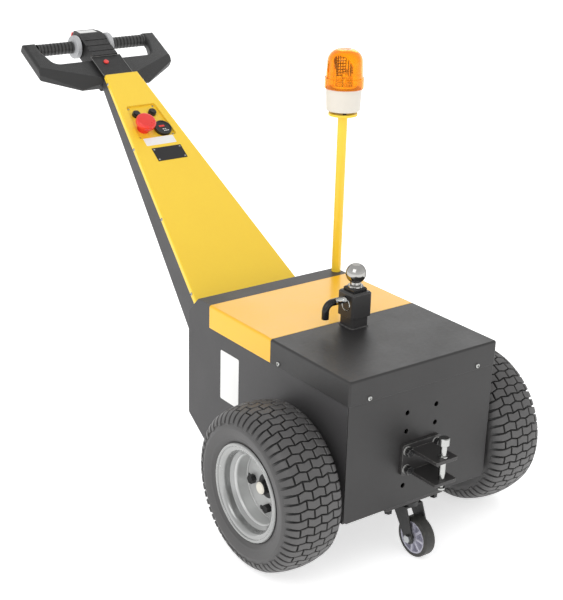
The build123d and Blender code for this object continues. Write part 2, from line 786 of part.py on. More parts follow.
dome_z = lens_z + LENS_RING_H
lens_axis = Axis((mast_x, along(mast_y), 0), (0, 0, 1))
with BuildPart() as beacon_lens:
    for inset in (0.0, LENS_T):
        top = dome_z + LENS_H - inset
        side_r = LENS_R - LENS_INSET - inset
        top_r = side_r - LENS_DRAFT
        dome_r = DOME_R - inset
        with BuildSketch(turned(mast_x, mast_y)):
            with BuildLine():
                Polyline((0, top), (0, lens_z), (LENS_R - inset, lens_z), (LENS_R - inset, dome_z - inset))
                Line((LENS_R - inset, dome_z - inset), (side_r, dome_z - inset))
                Line((side_r, dome_z - inset), (top_r, top - dome_r))
                RadiusArc((top_r, top - dome_r), (top_r - dome_r, top), -dome_r)
                Line((top_r - dome_r, top), (0, top))
            make_face()
        revolve(axis=lens_axis, mode=Mode.SUBTRACT if inset else Mode.ADD)
save(beacon_lens, "beacon_lens")

with BuildPart() as beacon_reflector:
    with BuildSketch(turned(mast_x, mast_y)):
        with Locations((FOOT_R / 2, lens_z + FOOT_H / 2)):
            Rectangle(FOOT_R, FOOT_H)
        with Locations((STEM_R / 2, lens_z + DISH_UP / 2)):
            Rectangle(STEM_R, DISH_UP)
    revolve(axis=lens_axis)
    with Locations((mast_x, along(mast_y), lens_z + DISH_UP)):
        Sphere(BULB_R)
    dish_base = Plane(origin=(mast_x, along(mast_y), lens_z + FOOT_H), x_dir=(1, 0, 0), z_dir=(0, 0, 1))
    with BuildSketch(dish_base):
        with BuildLine():
            CenterArc((0, 0), DISH_R, 0, 180)
            CenterArc((0, 0), DISH_R - DISH_T, 0, 180)
            Line((DISH_R, 0), (DISH_R - DISH_T, 0))
            Line((-DISH_R, 0), (-DISH_R + DISH_T, 0))
        make_face()
    extrude(amount=LENS_RING_H + LENS_H - DOME_R - LENS_T)
save(beacon_reflector, "beacon_reflector")

# receiver tube with its collar, the square insert and its ball
ball_y = COVER_END_Y - BALL_IN
collar_z = TOP_Z + TUBE_UP
collar_top = collar_z + COLLAR_H
pin_z = collar_z + PIN_UP
with BuildPart() as receiver_tube:
    with BuildSketch(z_plane(0, ball_y, TOP_Z)):
        RectangleRounded(TUBE_W, TUBE_W, TUBE_CORNER_R)
    extrude(amount=TUBE_UP)
    with BuildSketch(z_plane(0, ball_y, collar_z)):
        RectangleRounded(COLLAR_W, COLLAR_W, TUBE_CORNER_R)
    extrude(amount=COLLAR_H)
    chamfer(receiver_tube.faces().sort_by(Axis.Z)[-1].edges(), COLLAR_EDGE)
    with BuildSketch(z_plane(0, ball_y, TOP_Z)):
        Rectangle(INSERT_W, INSERT_W)
    extrude(amount=TUBE_UP + COLLAR_H, mode=Mode.SUBTRACT)
    with BuildSketch(x_plane(-COLLAR_W, ball_y, pin_z)):
        Circle(PIN_R)
    extrude(amount=2 * COLLAR_W, mode=Mode.SUBTRACT)
save(receiver_tube, "receiver_tube")

insert_top = collar_top + INSERT_UP
with BuildPart() as ball_insert:
    with BuildSketch(z_plane(0, ball_y, TOP_Z)):
        Rectangle(INSERT_W, INSERT_W)
    extrude(amount=insert_top - TOP_Z)
    chamfer(ball_insert.faces().sort_by(Axis.Z)[-1].edges(), INSERT_EDGE)
    with BuildSketch(x_plane(-COLLAR_W, ball_y, pin_z)):
        Circle(PIN_R)
    extrude(amount=2 * COLLAR_W, mode=Mode.SUBTRACT)
save(ball_insert, "ball_insert")

with BuildPart() as tow_ball:
    with BuildSketch(z_plane(0, ball_y, insert_top)):
        Circle(BALL_FOOT_R)
    extrude(amount=BALL_FOOT_T)
    chamfer(tow_ball.edges().sort_by(Axis.Z)[-1], BALL_FOOT_T / 3)
    with BuildSketch(z_plane(0, ball_y, insert_top + BALL_FOOT_T)):
        Circle(NECK_R)
    extrude(amount=BALL_UP - INSERT_UP - BALL_FOOT_T)
    with Locations((0, along(ball_y), collar_top + BALL_UP)):
        Sphere(BALL_R)
    flat = Plane((0, along(ball_y), collar_top + BALL_UP + BALL_R - BALL_FLAT))
    split(bisect_by=flat, keep=Keep.BOTTOM)
save(tow_ball, "tow_ball")

# bent receiver pin and its latch
pin_end = COLLAR_W / 2 + PIN_TAIL
latch_rise, latch_run = sin(radians(LATCH_TILT)), cos(radians(LATCH_TILT))
latch = Plane(
    origin=(-LATCH_OUT, along(ball_y), pin_z),
    x_dir=(1, 0, 0),
    z_dir=(0, -latch_run, latch_rise),
)
with BuildPart() as hitch_pin:
    with BuildLine():
        FilletPolyline(
            (pin_end, along(ball_y), pin_z),
            (-PIN_OUT, along(ball_y), pin_z),
            (-PIN_OUT, along(ball_y), pin_z - PIN_DROP),
            radius=PIN_BEND_R,
        )
    with BuildSketch(x_plane(pin_end, ball_y, pin_z)):
        Circle(PIN_R)
    sweep()
    chamfer(hitch_pin.edges().sort_by(Axis.X)[-1], PIN_R / 4)
    with BuildSketch(latch.offset(-PIN_R)):
        Circle(LATCH_STEM_R)
    extrude(amount=2 * PIN_R, mode=Mode.SUBTRACT)
save(hitch_pin, "hitch_pin")

with BuildPart() as pin_latch:
    with BuildSketch(latch.offset(-PIN_R)):
        Circle(LATCH_STEM_R)
    extrude(amount=2 * PIN_R)
    with BuildSketch(latch.offset(PIN_R)):
        Circle(LATCH_R)
    extrude(amount=LATCH_LONG)
    chamfer(pin_latch.edges().filter_by(GeomType.CIRCLE).sort_by(Axis.Y)[0], LATCH_STEM_R / 2)
    ring_out = PIN_R + LATCH_LONG - LATCH_R
    ring_x = -LATCH_OUT + LATCH_R - LATCH_WIRE_R
    ring_z = pin_z + ring_out * latch_rise - LATCH_RING_R
    with BuildSketch(x_plane(ring_x, ball_y - ring_out * latch_run, ring_z)):
        Circle(LATCH_RING_R + LATCH_WIRE_R)
        Circle(LATCH_RING_R - LATCH_WIRE_R, mode=Mode.SUBTRACT)
    extrude(amount=2 * LATCH_WIRE_R)
save(pin_latch, "pin_latch")

# drop-pin hitch: a bolted plate with two tongues
bolt_z = FLOOR_Z + HOLE_LOW + BRACKET_ROW * HOLE_PITCH
low_tongue_z = bolt_z - TONGUE_LOW
top_tongue_z = low_tongue_z + PLATE_T + TONGUE_GAP
tongue_y = FACE_Y - PLATE_T - TONGUE_LONG / 2
drop_y = TIP_Y + PIN_HOLE_IN
with BuildPart() as hitch_bracket:
    with BuildSketch(y_plane(0, FACE_Y, bolt_z)):
        RectangleRounded(HOLE_X + 2 * BRACKET_EDGE, BRACKET_H, CORNER_R)
        with GridLocations(HOLE_X, HOLE_PITCH, 2, 2):
            Circle(HOLE_R, mode=Mode.SUBTRACT)
    extrude(amount=PLATE_T)
    for z in (low_tongue_z, top_tongue_z):
        with BuildSketch(z_plane(0, tongue_y, z)) as tongue:
            Rectangle(2 * TONGUE_HALF, TONGUE_LONG)
            fillet(tongue.vertices().group_by(Axis.Y)[0], TONGUE_CORNER_R)
        extrude(amount=PLATE_T)
    with BuildSketch(z_plane(0, drop_y, low_tongue_z)):
        Circle(DROP_R + SEAT_GAP)
    extrude(amount=2 * PLATE_T + TONGUE_GAP, mode=Mode.SUBTRACT)
save(hitch_bracket, "hitch_bracket")

with BuildPart() as bracket_bolts:
    bolt_y = FACE_Y - PLATE_T
    with BuildSketch(y_plane(0, bolt_y, bolt_z)):
        with GridLocations(HOLE_X, HOLE_PITCH, 2, 2):
            Circle(WASHER_R)
    extrude(amount=WASHER_T)
    with BuildSketch(y_plane(0, bolt_y - WASHER_T, bolt_z)):
        with GridLocations(HOLE_X, HOLE_PITCH, 2, 2):
            RegularPolygon(BOLT_AF / 2, 6, major_radius=False)
    extrude(amount=BOLT_H)
    with BuildSketch(y_plane(0, bolt_y, bolt_z)):
        with GridLocations(HOLE_X, HOLE_PITCH, 2, 2):
            Circle(HOLE_R - SEAT_GAP)
    extrude(amount=-PLATE_T - SHEET - BOLT_TAIL)
save(bracket_bolts, "bracket_bolts")

# drop pin: turned head, collar, waist, shank and ring; columns are the height and the radius below it
seat_z = top_tongue_z + PLATE_T
pin_steps = [
    (seat_z + DROP_COLLAR_H + DROP_NECK_H + DROP_HEAD_H, DROP_HEAD_R),
    (seat_z + DROP_COLLAR_H + DROP_NECK_H, DROP_R),
    (seat_z + DROP_COLLAR_H, DROP_COLLAR_R),
    (seat_z, DROP_WAIST_R),
    (top_tongue_z, DROP_R),
    (low_tongue_z, DROP_TIP_R),
    (low_tongue_z - DROP_TIP + DROP_RING_T, DROP_RING_R),
]
with BuildPart() as drop_pin:
    for step, (z, r) in enumerate(pin_steps):
        low = pin_steps[step + 1][0] if step + 1 < len(pin_steps) else low_tongue_z - DROP_TIP
        with BuildSketch(z_plane(0, drop_y, z)):
            Circle(r)
        extrude(amount=low - z)
    fillet(drop_pin.edges().filter_by(GeomType.CIRCLE).sort_by(Axis.Z)[-1], DROP_HEAD_EDGE)
save(drop_pin, "drop_pin")

# caster plates under floor and tub, and their bolts
with BuildPart() as caster_mounts:
    for name, seat in CASTER_SEAT_Z.items():
        with BuildSketch(z_plane(0, KINGPIN_Y[name] + CASTER_PLATE_SHIFT, seat - PLATE_T)):
            RectangleRounded(CASTER_PLATE_X, CASTER_PLATE_Y, CORNER_R)
        extrude(amount=PLATE_T)
        with BuildSketch(z_plane(0, KINGPIN_Y[name], seat - PLATE_T)):
            Circle(KINGPIN_R + FIT_GAP)
        extrude(amount=PLATE_T - KINGPIN_CAP, mode=Mode.SUBTRACT)
save(caster_mounts, "caster_mounts")

with BuildPart() as caster_bolts:
    for name, seat in CASTER_SEAT_Z.items():
        with BuildSketch(z_plane(0, KINGPIN_Y[name] + CASTER_PLATE_SHIFT, seat - PLATE_T)):
            with GridLocations(CASTER_BOLT_X, CASTER_BOLT_Y, 2, 2):
                RegularPolygon(CASTER_BOLT_AF / 2, 6, major_radius=False)
        extrude(amount=-CASTER_BOLT_H)
save(caster_bolts, "caster_bolts")

# swivel casters: pressed fork with raceway and axle bolt, spoked hub, rounded tread
fork_half = CASTER_W / 2 + FORK_SIDE_GAP + FORK_T
for name, wheel_r in CASTERS.items():
    kingpin_y = KINGPIN_Y[name]
    axle_y = kingpin_y - CASTER_TRAIL
    crown_z = 2 * wheel_r + CROWN_GAP[name]
    race_top = crown_z + CROWN_T + RACE_H - RACE_GAP
    hub_r = wheel_r - TREAD_T
    with BuildPart() as caster_fork:
        with BuildSketch(z_plane(0, kingpin_y, crown_z + CROWN_T)):
            Circle(RACE_R)
        extrude(amount=RACE_H - RACE_GAP)
        chamfer(caster_fork.edges().sort_by(Axis.Z)[-1], RACE_EDGE)
        with BuildSketch(z_plane(0, kingpin_y, race_top)):
            Circle(KINGPIN_R)
        extrude(amount=PLATE_T - KINGPIN_CAP)
        with BuildSketch(z_plane(0, kingpin_y, crown_z)):
            Rectangle(2 * fork_half, CROWN_LONG)
            Circle(RACE_R)
        extrude(amount=CROWN_T)
        for x in (-fork_half, fork_half - FORK_T):
            with BuildSketch(Plane.YZ.offset(x)):
                with Locations((along(axle_y), wheel_r)):
                    Circle(LEG_END_R)
                with Locations((along(kingpin_y), crown_z + CROWN_T / 2)):
                    Rectangle(CROWN_LONG, CROWN_T)
                make_hull()
            extrude(amount=FORK_T)
        with BuildSketch(x_plane(-fork_half, axle_y, wheel_r)):
            Circle(CASTER_AXLE_R)
        extrude(amount=2 * fork_half)
        for x in (-fork_half - CASTER_NUT_H, fork_half):
            with BuildSketch(x_plane(x, axle_y, wheel_r)):
                RegularPolygon(CASTER_NUT_R, 6, major_radius=False)
            extrude(amount=CASTER_NUT_H)
    save(caster_fork, f"{name}_caster_fork")
    hub_w = CASTER_W - 2 * HUB_INSET
    with BuildPart() as caster_hub:
        with BuildSketch(x_plane(-hub_w / 2, axle_y, wheel_r)):
            Circle(hub_r)
            Circle(CASTER_AXLE_R + FIT_GAP, mode=Mode.SUBTRACT)
        extrude(amount=hub_w)
        for x in (-hub_w / 2, HUB_WEB_T / 2):
            with BuildSketch(x_plane(x, axle_y, wheel_r)):
                Circle(hub_r - HUB_RING_T)
                Circle(HUB_BOSS_R, mode=Mode.SUBTRACT)
                with PolarLocations(hub_r / 2, HUB_SPOKES):
                    Rectangle(hub_r, HUB_SPOKE_W, mode=Mode.SUBTRACT)
            extrude(amount=(hub_w - HUB_WEB_T) / 2, mode=Mode.SUBTRACT)
    save(caster_hub, f"{name}_caster_hub")
    with BuildPart() as caster_tread:
        with BuildSketch(x_plane(-CASTER_W / 2, axle_y, wheel_r)):
            Circle(wheel_r)
        extrude(amount=CASTER_W)
        fillet(caster_tread.edges().filter_by(GeomType.CIRCLE), TREAD_EDGE)
        with BuildSketch(x_plane(-CASTER_W / 2, axle_y, wheel_r)):
            Circle(hub_r)
        extrude(amount=CASTER_W, mode=Mode.SUBTRACT)
    save(caster_tread, f"{name}_caster_tread")

# drive wheels: tyre, pressed rim with a drop centre, hub with shaft, studs and lug nuts
axle_line = Axis((0, along(0), TYRE_R), (1, 0, 0))
rim_r = SEAT_R + RIM_FLANGE
wall_r = (TYRE_R + rim_r) / 2
seat_mid = SEAT_R - RIM_T / 2
lip_w = BEAD_HALF + RIM_T / 2
rim_bends = [RIM_BEND_R, BEAD_BEND_R, RIM_BEND_R, RIM_BEND_R]
half_rim = [
    (lip_w + RIM_LIP, rim_r),
    (lip_w, rim_r - RIM_LIP),
    (lip_w, seat_mid),
    (WELL_STEP, seat_mid),
    (WELL_STEP - WELL_RUN, seat_mid - WELL_DROP),
]
for name, side in (("left", -1), ("right", 1)):
    half = Plane(origin=(side * WHEEL_X, along(0), TYRE_R), x_dir=(side, 0, 0), z_dir=(0, -side, 0))
    disc_x = side * (WHEEL_X + DISC_OUT - RIM_T)
    lugs = Plane(origin=(disc_x, along(0), TYRE_R), x_dir=(0, 1, 0), z_dir=(side, 0, 0))
    with BuildPart() as tyre:
        with BuildSketch(half) as tyre_section:
            with BuildLine():
                SagittaArc((0, TYRE_R), (TREAD_HALF, TYRE_R - CROWN_DROP), CROWN_DROP / 4)
                SagittaArc((TREAD_HALF, TYRE_R - CROWN_DROP), (TYRE_W / 2, wall_r), SHOULDER_SAG)
                SagittaArc((TYRE_W / 2, wall_r), (BEAD_HALF, rim_r + SEAT_GAP), WALL_SAG)
                Polyline((BEAD_HALF, rim_r + SEAT_GAP), (BEAD_HALF, SEAT_R), (0, SEAT_R), (0, TYRE_R))
            make_face()
            mirror(about=Plane.YZ)
            toes = tyre_section.vertices().group_by(Axis.Y)[0].sort_by(Axis.X)
            fillet([toes[0], toes[-1]], BEAD_BEND_R - RIM_T / 2)
        revolve(axis=axle_line)
    save(tyre, f"tyre_{name}")
    with BuildPart() as rim:
        with BuildSketch(half):
            with BuildLine():
                FilletPolyline(
                    *half_rim,
                    *[(-w, r) for w, r in reversed(half_rim)],
                    radius=rim_bends + rim_bends[::-1],
                )
            trace(line_width=RIM_T)
            with Locations((DISC_OUT - RIM_T / 2, (PILOT_R + SEAT_GAP + seat_mid - WELL_DROP) / 2)):
                Rectangle(RIM_T, seat_mid - WELL_DROP - PILOT_R - SEAT_GAP)
        revolve(axis=axle_line)
        with BuildSketch(lugs):
            with PolarLocations(LUG_CIRCLE_R, LUG_COUNT, start_angle=LUG_TURN):
                Circle(STUD_R + SEAT_GAP)
        extrude(amount=RIM_T, mode=Mode.SUBTRACT)
    save(rim, f"rim_{name}")
    with BuildPart() as hub:
        with BuildSketch(half):
            with BuildLine():
                back = DISC_OUT - RIM_T
                boss_in = BODY_HALF + HUB_GAP - WHEEL_X
                Polyline(
                    (shaft_in - WHEEL_X, 0),
                    (shaft_in - WHEEL_X, AXLE_R),
                    (boss_in, AXLE_R),
                    (boss_in, BOSS_R),
                    (back - HUB_T, BOSS_R),
                    (back - HUB_T, HUB_R),
                    (back, HUB_R),
                    (back, PILOT_R),
                    (DISC_OUT + PILOT_OUT, PILOT_R),
                    (DISC_OUT + PILOT_OUT, CAP_R),
                    (DISC_OUT + CAP_OUT - CAP_EDGE, CAP_R),
                    (DISC_OUT + CAP_OUT, CAP_R - CAP_EDGE),
                    (DISC_OUT + CAP_OUT, 0),
                    close=True,
                )
            make_face()
        revolve(axis=axle_line)
        with BuildSketch(lugs):
            with PolarLocations(LUG_CIRCLE_R, LUG_COUNT, start_angle=LUG_TURN):
                Circle(STUD_R)
        extrude(amount=RIM_T)
        with BuildSketch(lugs.offset(RIM_T)):
            with PolarLocations(LUG_CIRCLE_R, LUG_COUNT, start_angle=LUG_TURN):
                RegularPolygon(LUG_AF / 2, 6, major_radius=False)
        extrude(amount=LUG_H)
    save(hub, f"hub_{name}")
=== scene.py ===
"""Looks of a walk-behind electric tow tug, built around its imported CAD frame.

Metres. +Z up, the hitch face looks to -Y, the tiller reaches back to +Y and the floor is Z = 0, as in the CAD.
"""
import logging
from dataclasses import dataclass, field
from enum import Enum
from math import cos, pi, radians, sin

import bmesh
import bpy
import numpy as np
from mathutils import Matrix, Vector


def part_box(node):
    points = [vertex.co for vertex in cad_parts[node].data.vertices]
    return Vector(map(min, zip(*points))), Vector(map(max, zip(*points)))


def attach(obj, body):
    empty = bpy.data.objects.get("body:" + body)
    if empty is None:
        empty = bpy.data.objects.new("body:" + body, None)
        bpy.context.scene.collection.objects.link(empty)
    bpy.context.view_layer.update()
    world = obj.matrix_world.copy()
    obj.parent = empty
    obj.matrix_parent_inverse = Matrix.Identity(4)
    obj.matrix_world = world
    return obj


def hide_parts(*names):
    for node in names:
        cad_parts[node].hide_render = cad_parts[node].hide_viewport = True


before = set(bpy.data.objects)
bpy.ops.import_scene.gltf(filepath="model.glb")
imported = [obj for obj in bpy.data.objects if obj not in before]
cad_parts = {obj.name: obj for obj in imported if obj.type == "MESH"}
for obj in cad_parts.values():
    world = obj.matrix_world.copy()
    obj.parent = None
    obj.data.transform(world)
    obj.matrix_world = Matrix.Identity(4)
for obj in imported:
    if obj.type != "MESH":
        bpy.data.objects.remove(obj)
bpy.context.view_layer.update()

log = logging.getLogger("tow_tug")

Array = np.ndarray
Rgb = tuple[float, float, float]
Point = tuple[float, float, float]
Socket = bpy.types.NodeSocket

MERGE = 1e-6
SHARP_DEG = 34.0
# Mesh attribute holding the share of painted shade in the tyre's grooves and on its walls.
GROOVE_SHADE_ATTRIBUTE = "groove"
MADE: dict[str, bpy.types.Material] = {}

AXLE_Y = 0.5 * (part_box("tyre_left")[0].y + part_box("tyre_left")[1].y)
AXLE_Z = 0.5 * (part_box("tyre_left")[0].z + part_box("tyre_left")[1].z)
BODY_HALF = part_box("body_shell")[1].x
COVER_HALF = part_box("front_cover")[1].x
COVER_FRONT_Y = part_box("front_cover")[0].y
TOP_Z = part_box("battery_hood")[1].z

WIDE_SHARE, FINE_SHARE = 0.65, 0.35
FINE_TIMES = 14.0
SHADE_RANGE = (0.3, 0.7)
# Patches of painted edge highlight, with a little wear.
HIGHLIGHT_AND_WEAR_SPOTS = (0.35, 0.62)
DUST_SPOTS = (0.45, 0.75)
DUST: Rgb = (150, 142, 130)
EDGE_LEAN = (0.995, 0.86)
LEAST_ROUGHNESS = 0.02
NOISE_ROUGHNESS = 0.55

DOME_R, DOME_OUT, DOME_TIP = 0.7, 0.6, 0.75
HEAD_SHARES = ((1.0, 0.0), (1.0, 0.3), (0.9, 0.72), (0.66, 1.0))
SOCKET_REACH, SOCKET_TAPER, SOCKET_FLOOR = 0.46, 0.96, 0.35


def linear(colour: Rgb) -> tuple[float, float, float, float]:
    """Screen colour from 0 to 255 as linear light with alpha.

    Args:
        colour: red, green and blue as they look on screen.

    Returns:
        Four linear values; each is ((c + 0.055) / 1.055) to the power 2.4, or c / 12.92 near black.
    """
    c = np.asarray(colour, float) / 255.0
    lin = np.where(c <= 0.04045, c / 12.92, ((c + 0.055) / 1.055) ** 2.4)
    return (*map(float, lin), 1.0)


class Graph:
    """Adds and links the shader nodes of one material."""

    def __init__(self, name: str) -> None:
        """Starts a material with a principled shader and the piece's own coordinates.

        Args:
            name: the material's name.
        """
        self.material = bpy.data.materials.new(name)
        self.material.use_nodes = True
        self.tree = self.material.node_tree
        self.tree.nodes.clear()
        output = self.tree.nodes.new("ShaderNodeOutputMaterial")
        self.shader = self.tree.nodes.new("ShaderNodeBsdfPrincipled")
        self.tree.links.new(self.shader.outputs["BSDF"], output.inputs["Surface"])
        self.place = self.tree.nodes.new("ShaderNodeTexCoord").outputs["Object"]

    def add(self, kind: str, inputs: dict | None = None, **settings: object) -> bpy.types.Node:
        """Adds a node.

        Args:
            kind: the node's type name.
            inputs: values or sockets by input name or number.
            settings: properties of the node itself.

        Returns:
            The new node.
        """
        node = self.tree.nodes.new(kind)
        for key, value in settings.items():
            setattr(node, key, value)
        for key, value in (inputs or {}).items():
            self.feed(node.inputs[key], value)
        return node

    def feed(self, socket: Socket, value: object) -> None:
        """Links a socket to another one, or sets its constant value.

        Args:
            socket: the input to feed.
            value: an output socket, or a constant.
        """
        if isinstance(value, Socket):
            self.tree.links.new(value, socket)
        else:
            socket.default_value = value

    def set(self, name: str, value: object) -> None:
        """Feeds one input of the principled shader."""
        self.feed(self.shader.inputs[name], value)

    def noise(self, scale: float, detail: float = 2.0, stretch: Point = (1, 1, 1)) -> Socket:
        """Noise in the piece's own coordinates.

        Args:
            scale: features to the metre.
            detail: octaves of finer noise.
            stretch: scale along each axis.

        Returns:
            The noise, from 0 to 1.
        """
        mapped = self.add("ShaderNodeMapping", {"Vector": self.place, "Scale": stretch})
        values = {"Vector": mapped.outputs["Vector"], "Scale": scale, "Detail": detail, "Roughness": NOISE_ROUGHNESS}
        return self.add("ShaderNodeTexNoise", values).outputs["Fac"]

    def cells(self, scale: float) -> Socket:
        """Distance to the border of cells, for moulded leather grain."""
        values = {"Vector": self.place, "Scale": scale}
        return self.add("ShaderNodeTexVoronoi", values, feature="DISTANCE_TO_EDGE").outputs["Distance"]

    def span(self, value: Socket, low: float, high: float, to_low: float, to_high: float) -> Socket:
        """Carries the range low to high of a value onto another range, clamped."""
        values = {"Value": value, "From Min": low, "From Max": high, "To Min": to_low, "To Max": to_high}
        return self.add("ShaderNodeMapRange", values).outputs["Result"]

    def math(self, operation: str, a: object, b: object = 0.0) -> Socket:
        """One sum of two values."""
        return self.add("ShaderNodeMath", {0: a, 1: b}, operation=operation).outputs["Value"]

    def mix(self, share: object, a: object, b: object) -> Socket:
        """Mixes two colours.

        Args:
            share: how much of b shows, from 0 to 1.
            a: colour where the share is 0.
            b: colour where the share is 1.

        Returns:
            The mixed colour.
        """
        node = self.add("ShaderNodeMix", data_type="RGBA")
        for number, value in ((0, share), (6, a), (7, b)):
            self.feed(node.inputs[number], value)
        return node.outputs[2]

    def edges(self, radius: float) -> tuple[Socket, Socket]:
        """Rounds sharp edges in the shading.

        Args:
            radius: reach of the rounding in metres.

        Returns:
            The rounded normal, and how far it leans off the face, from 0 to 1.
        """
        soft = self.add("ShaderNodeBevel", {"Radius": radius}, samples=4).outputs["Normal"]
        flat = self.add("ShaderNodeNewGeometry").outputs["Normal"]
        same = self.add("ShaderNodeVectorMath", {0: soft, 1: flat}, operation="DOT_PRODUCT").outputs["Value"]
        return soft, self.span(same, *EDGE_LEAN, 0.0, 1.0)

    def bump(self, height: Socket, depth: float, normal: object = None) -> Socket:
        """Bump relief on top of another normal.

        Args:
            height: relief from 0 to 1.
            depth: its depth in metres.
            normal: the normal below it, or none for the surface's own.

        Returns:
            The bumped normal.
        """
        node = self.add("ShaderNodeBump", {"Height": height, "Distance": depth, "Strength": 1.0})
        if normal is not None:
            self.feed(node.inputs["Normal"], normal)
        return node.outputs["Normal"]


class Grain(Enum):
    """Small relief of a surface."""

    PEEL = "the soft orange peel of powder coat"
    SAND = "fine even texture"
    LEATHER = "moulded cell grain"
    TURNED = "rings left by a lathe about an upright line"
    DRAWN = "long drawn scratches"


class Zone(Enum):
    """Which share of a node takes its second tone."""

    BEYOND_X = "further from the middle than the limit"
    BEHIND_Y = "behind the limit"
    ABOVE_Z = "above the limit"
    NEAR_LINE = "nearer than the limit to a line across the machine"


@dataclass(frozen=True)
class Tone:
    """Colour, roughness and metal share of one part of a surface."""

    colour: Rgb
    roughness: float
    metallic: float = 0.0


@dataclass(frozen=True)
class Finish:
    """One finish: a tone, its drift, its relief and its edges."""

    name: str
    tone: Tone
    grain: Grain = Grain.PEEL
    grain_scale: float = 420.0
    grain_depth: float = 0.00012
    drift: float = 0.05
    drift_scale: float = 7.0
    rough_drift: float = 0.07
    edge_radius: float = 0.0015
    # Edge tone and share: a painted highlight along the edges, with a little wear; on a lens, its colour seen edge
    # on.
    edge_tone: Rgb | None = None
    edge_share: float = 0.5
    dust: float = 0.0
    coat: float = 0.0
    coat_roughness: float = 0.2
    glow: float = 0.0
    rim_tint: float = 1.0
    # Colour of painted shade, mixed in by the share of shade that the mesh carries.
    groove_shade_tone: Rgb | None = None
    line: tuple[float, float] = (AXLE_Y, AXLE_Z)
    second: Tone | None = None
    zone: Zone = Zone.BEYOND_X
    limit: float = 0.0

    def material(self) -> bpy.types.Material:
        """The finish as a node material, made once."""
        if self.name not in MADE:
            MADE[self.name] = self.build()
        return MADE[self.name]

    def mask(self, graph: Graph) -> Socket:
        """Where the second tone shows, from the piece's own coordinates.

        Args:
            graph: the material's nodes.

        Returns:
            1 where it shows and 0 elsewhere.
        """
        part = graph.add("ShaderNodeSeparateXYZ", {"Vector": graph.place}).outputs
        if self.zone is Zone.BEYOND_X:
            return graph.math("GREATER_THAN", graph.math("ABSOLUTE", part["X"]), self.limit)
        if self.zone is Zone.BEHIND_Y:
            return graph.math("GREATER_THAN", part["Y"], self.limit)
        if self.zone is Zone.ABOVE_Z:
            return graph.math("GREATER_THAN", part["Z"], self.limit)
        dy = graph.math("SUBTRACT", part["Y"], self.line[0])
        dz = graph.math("SUBTRACT", part["Z"], self.line[1])
        squares = graph.math("ADD", graph.math("MULTIPLY", dy, dy), graph.math("MULTIPLY", dz, dz))
        reach = graph.math("SQRT", squares)
        return graph.math("LESS_THAN", reach, self.limit)

    def relief(self, graph: Graph) -> Socket:
        """Small relief of the surface.

        Args:
            graph: the material's nodes.

        Returns:
            Its height, from 0 to 1.
        """
        if self.grain is Grain.LEATHER:
            return graph.span(graph.cells(self.grain_scale), 0.0, 0.25, 0.0, 1.0)
        if self.grain is Grain.DRAWN:
            return graph.noise(self.grain_scale, 3.0, (1.0, 1.0, 0.06))
        if self.grain is Grain.TURNED:
            return graph.noise(self.grain_scale, 3.0, (0.08, 0.08, 1.0))
        return graph.noise(self.grain_scale, 1.0 if self.grain is Grain.PEEL else 4.0)

    def build(self) -> bpy.types.Material:
        """Builds the node material: drifting colour, edges lightened by a painted highlight with a little wear,
        varied roughness and relief.

        Returns:
            The new material, named as the finish.
        """
        graph = Graph(self.name)
        wide = graph.noise(self.drift_scale, 3.0)
        fine = graph.noise(self.drift_scale * FINE_TIMES, 4.0)
        shade = graph.math("MULTIPLY_ADD", fine, FINE_SHARE)
        graph.feed(shade.node.inputs[2], graph.math("MULTIPLY", wide, WIDE_SHARE))
        first = np.array(linear(self.tone.colour)[:3])
        dark = (*map(float, first * (1 - self.drift)), 1.0)
        light = (*map(float, np.minimum(first * (1 + self.drift), 1.0)), 1.0)
        colour = graph.mix(graph.span(shade, *SHADE_RANGE, 0.0, 1.0), dark, light)
        low, high = self.tone.roughness - self.rough_drift, self.tone.roughness + self.rough_drift
        rough = graph.span(shade, *SHADE_RANGE, max(low, LEAST_ROUGHNESS), min(high, 1.0))
        if self.second:
            mask = self.mask(graph)
            colour = graph.mix(mask, colour, linear(self.second.colour))
            rough = graph.mix(mask, rough, (*[self.second.roughness] * 3, 1.0))
        if self.second and self.second.metallic != self.tone.metallic:
            graph.set("Metallic", graph.span(mask, 0.0, 1.0, self.tone.metallic, self.second.metallic))
        else:
            graph.set("Metallic", self.tone.metallic)
        soft, edge_highlight_and_wear = graph.edges(self.edge_radius)
        # Edges take the edge tone in patches: a painted highlight where light catches them, with a little wear.
        if self.edge_tone:
            patchy_highlight_and_wear = graph.math("MULTIPLY", edge_highlight_and_wear, graph.span(fine, *HIGHLIGHT_AND_WEAR_SPOTS, 0.0, self.edge_share))
            colour = graph.mix(patchy_highlight_and_wear, colour, linear(self.edge_tone))
        if self.dust:
            settled = graph.math("MULTIPLY", graph.span(fine, *DUST_SPOTS, 0.0, 1.0), self.dust)
            colour = graph.mix(settled, colour, linear(DUST))
        # Painted shade: darkens grooves and walls by the share of shade that the mesh carries.
        if self.groove_shade_tone:
            painted_shade = graph.add("ShaderNodeAttribute", attribute_name=GROOVE_SHADE_ATTRIBUTE).outputs["Fac"]
            colour = graph.mix(painted_shade, colour, linear(self.groove_shade_tone))
        graph.set("Base Color", colour)
        graph.set("Roughness", rough)
        graph.set("Specular Tint", (*[self.rim_tint] * 3, 1.0))
        graph.set("Normal", graph.bump(self.relief(graph), self.grain_depth, soft))
        graph.set("Coat Weight", self.coat)
        graph.set("Coat Roughness", self.coat_roughness)
        graph.set("Emission Color", linear(self.tone.colour))
        graph.set("Emission Strength", self.glow)
        return graph.material


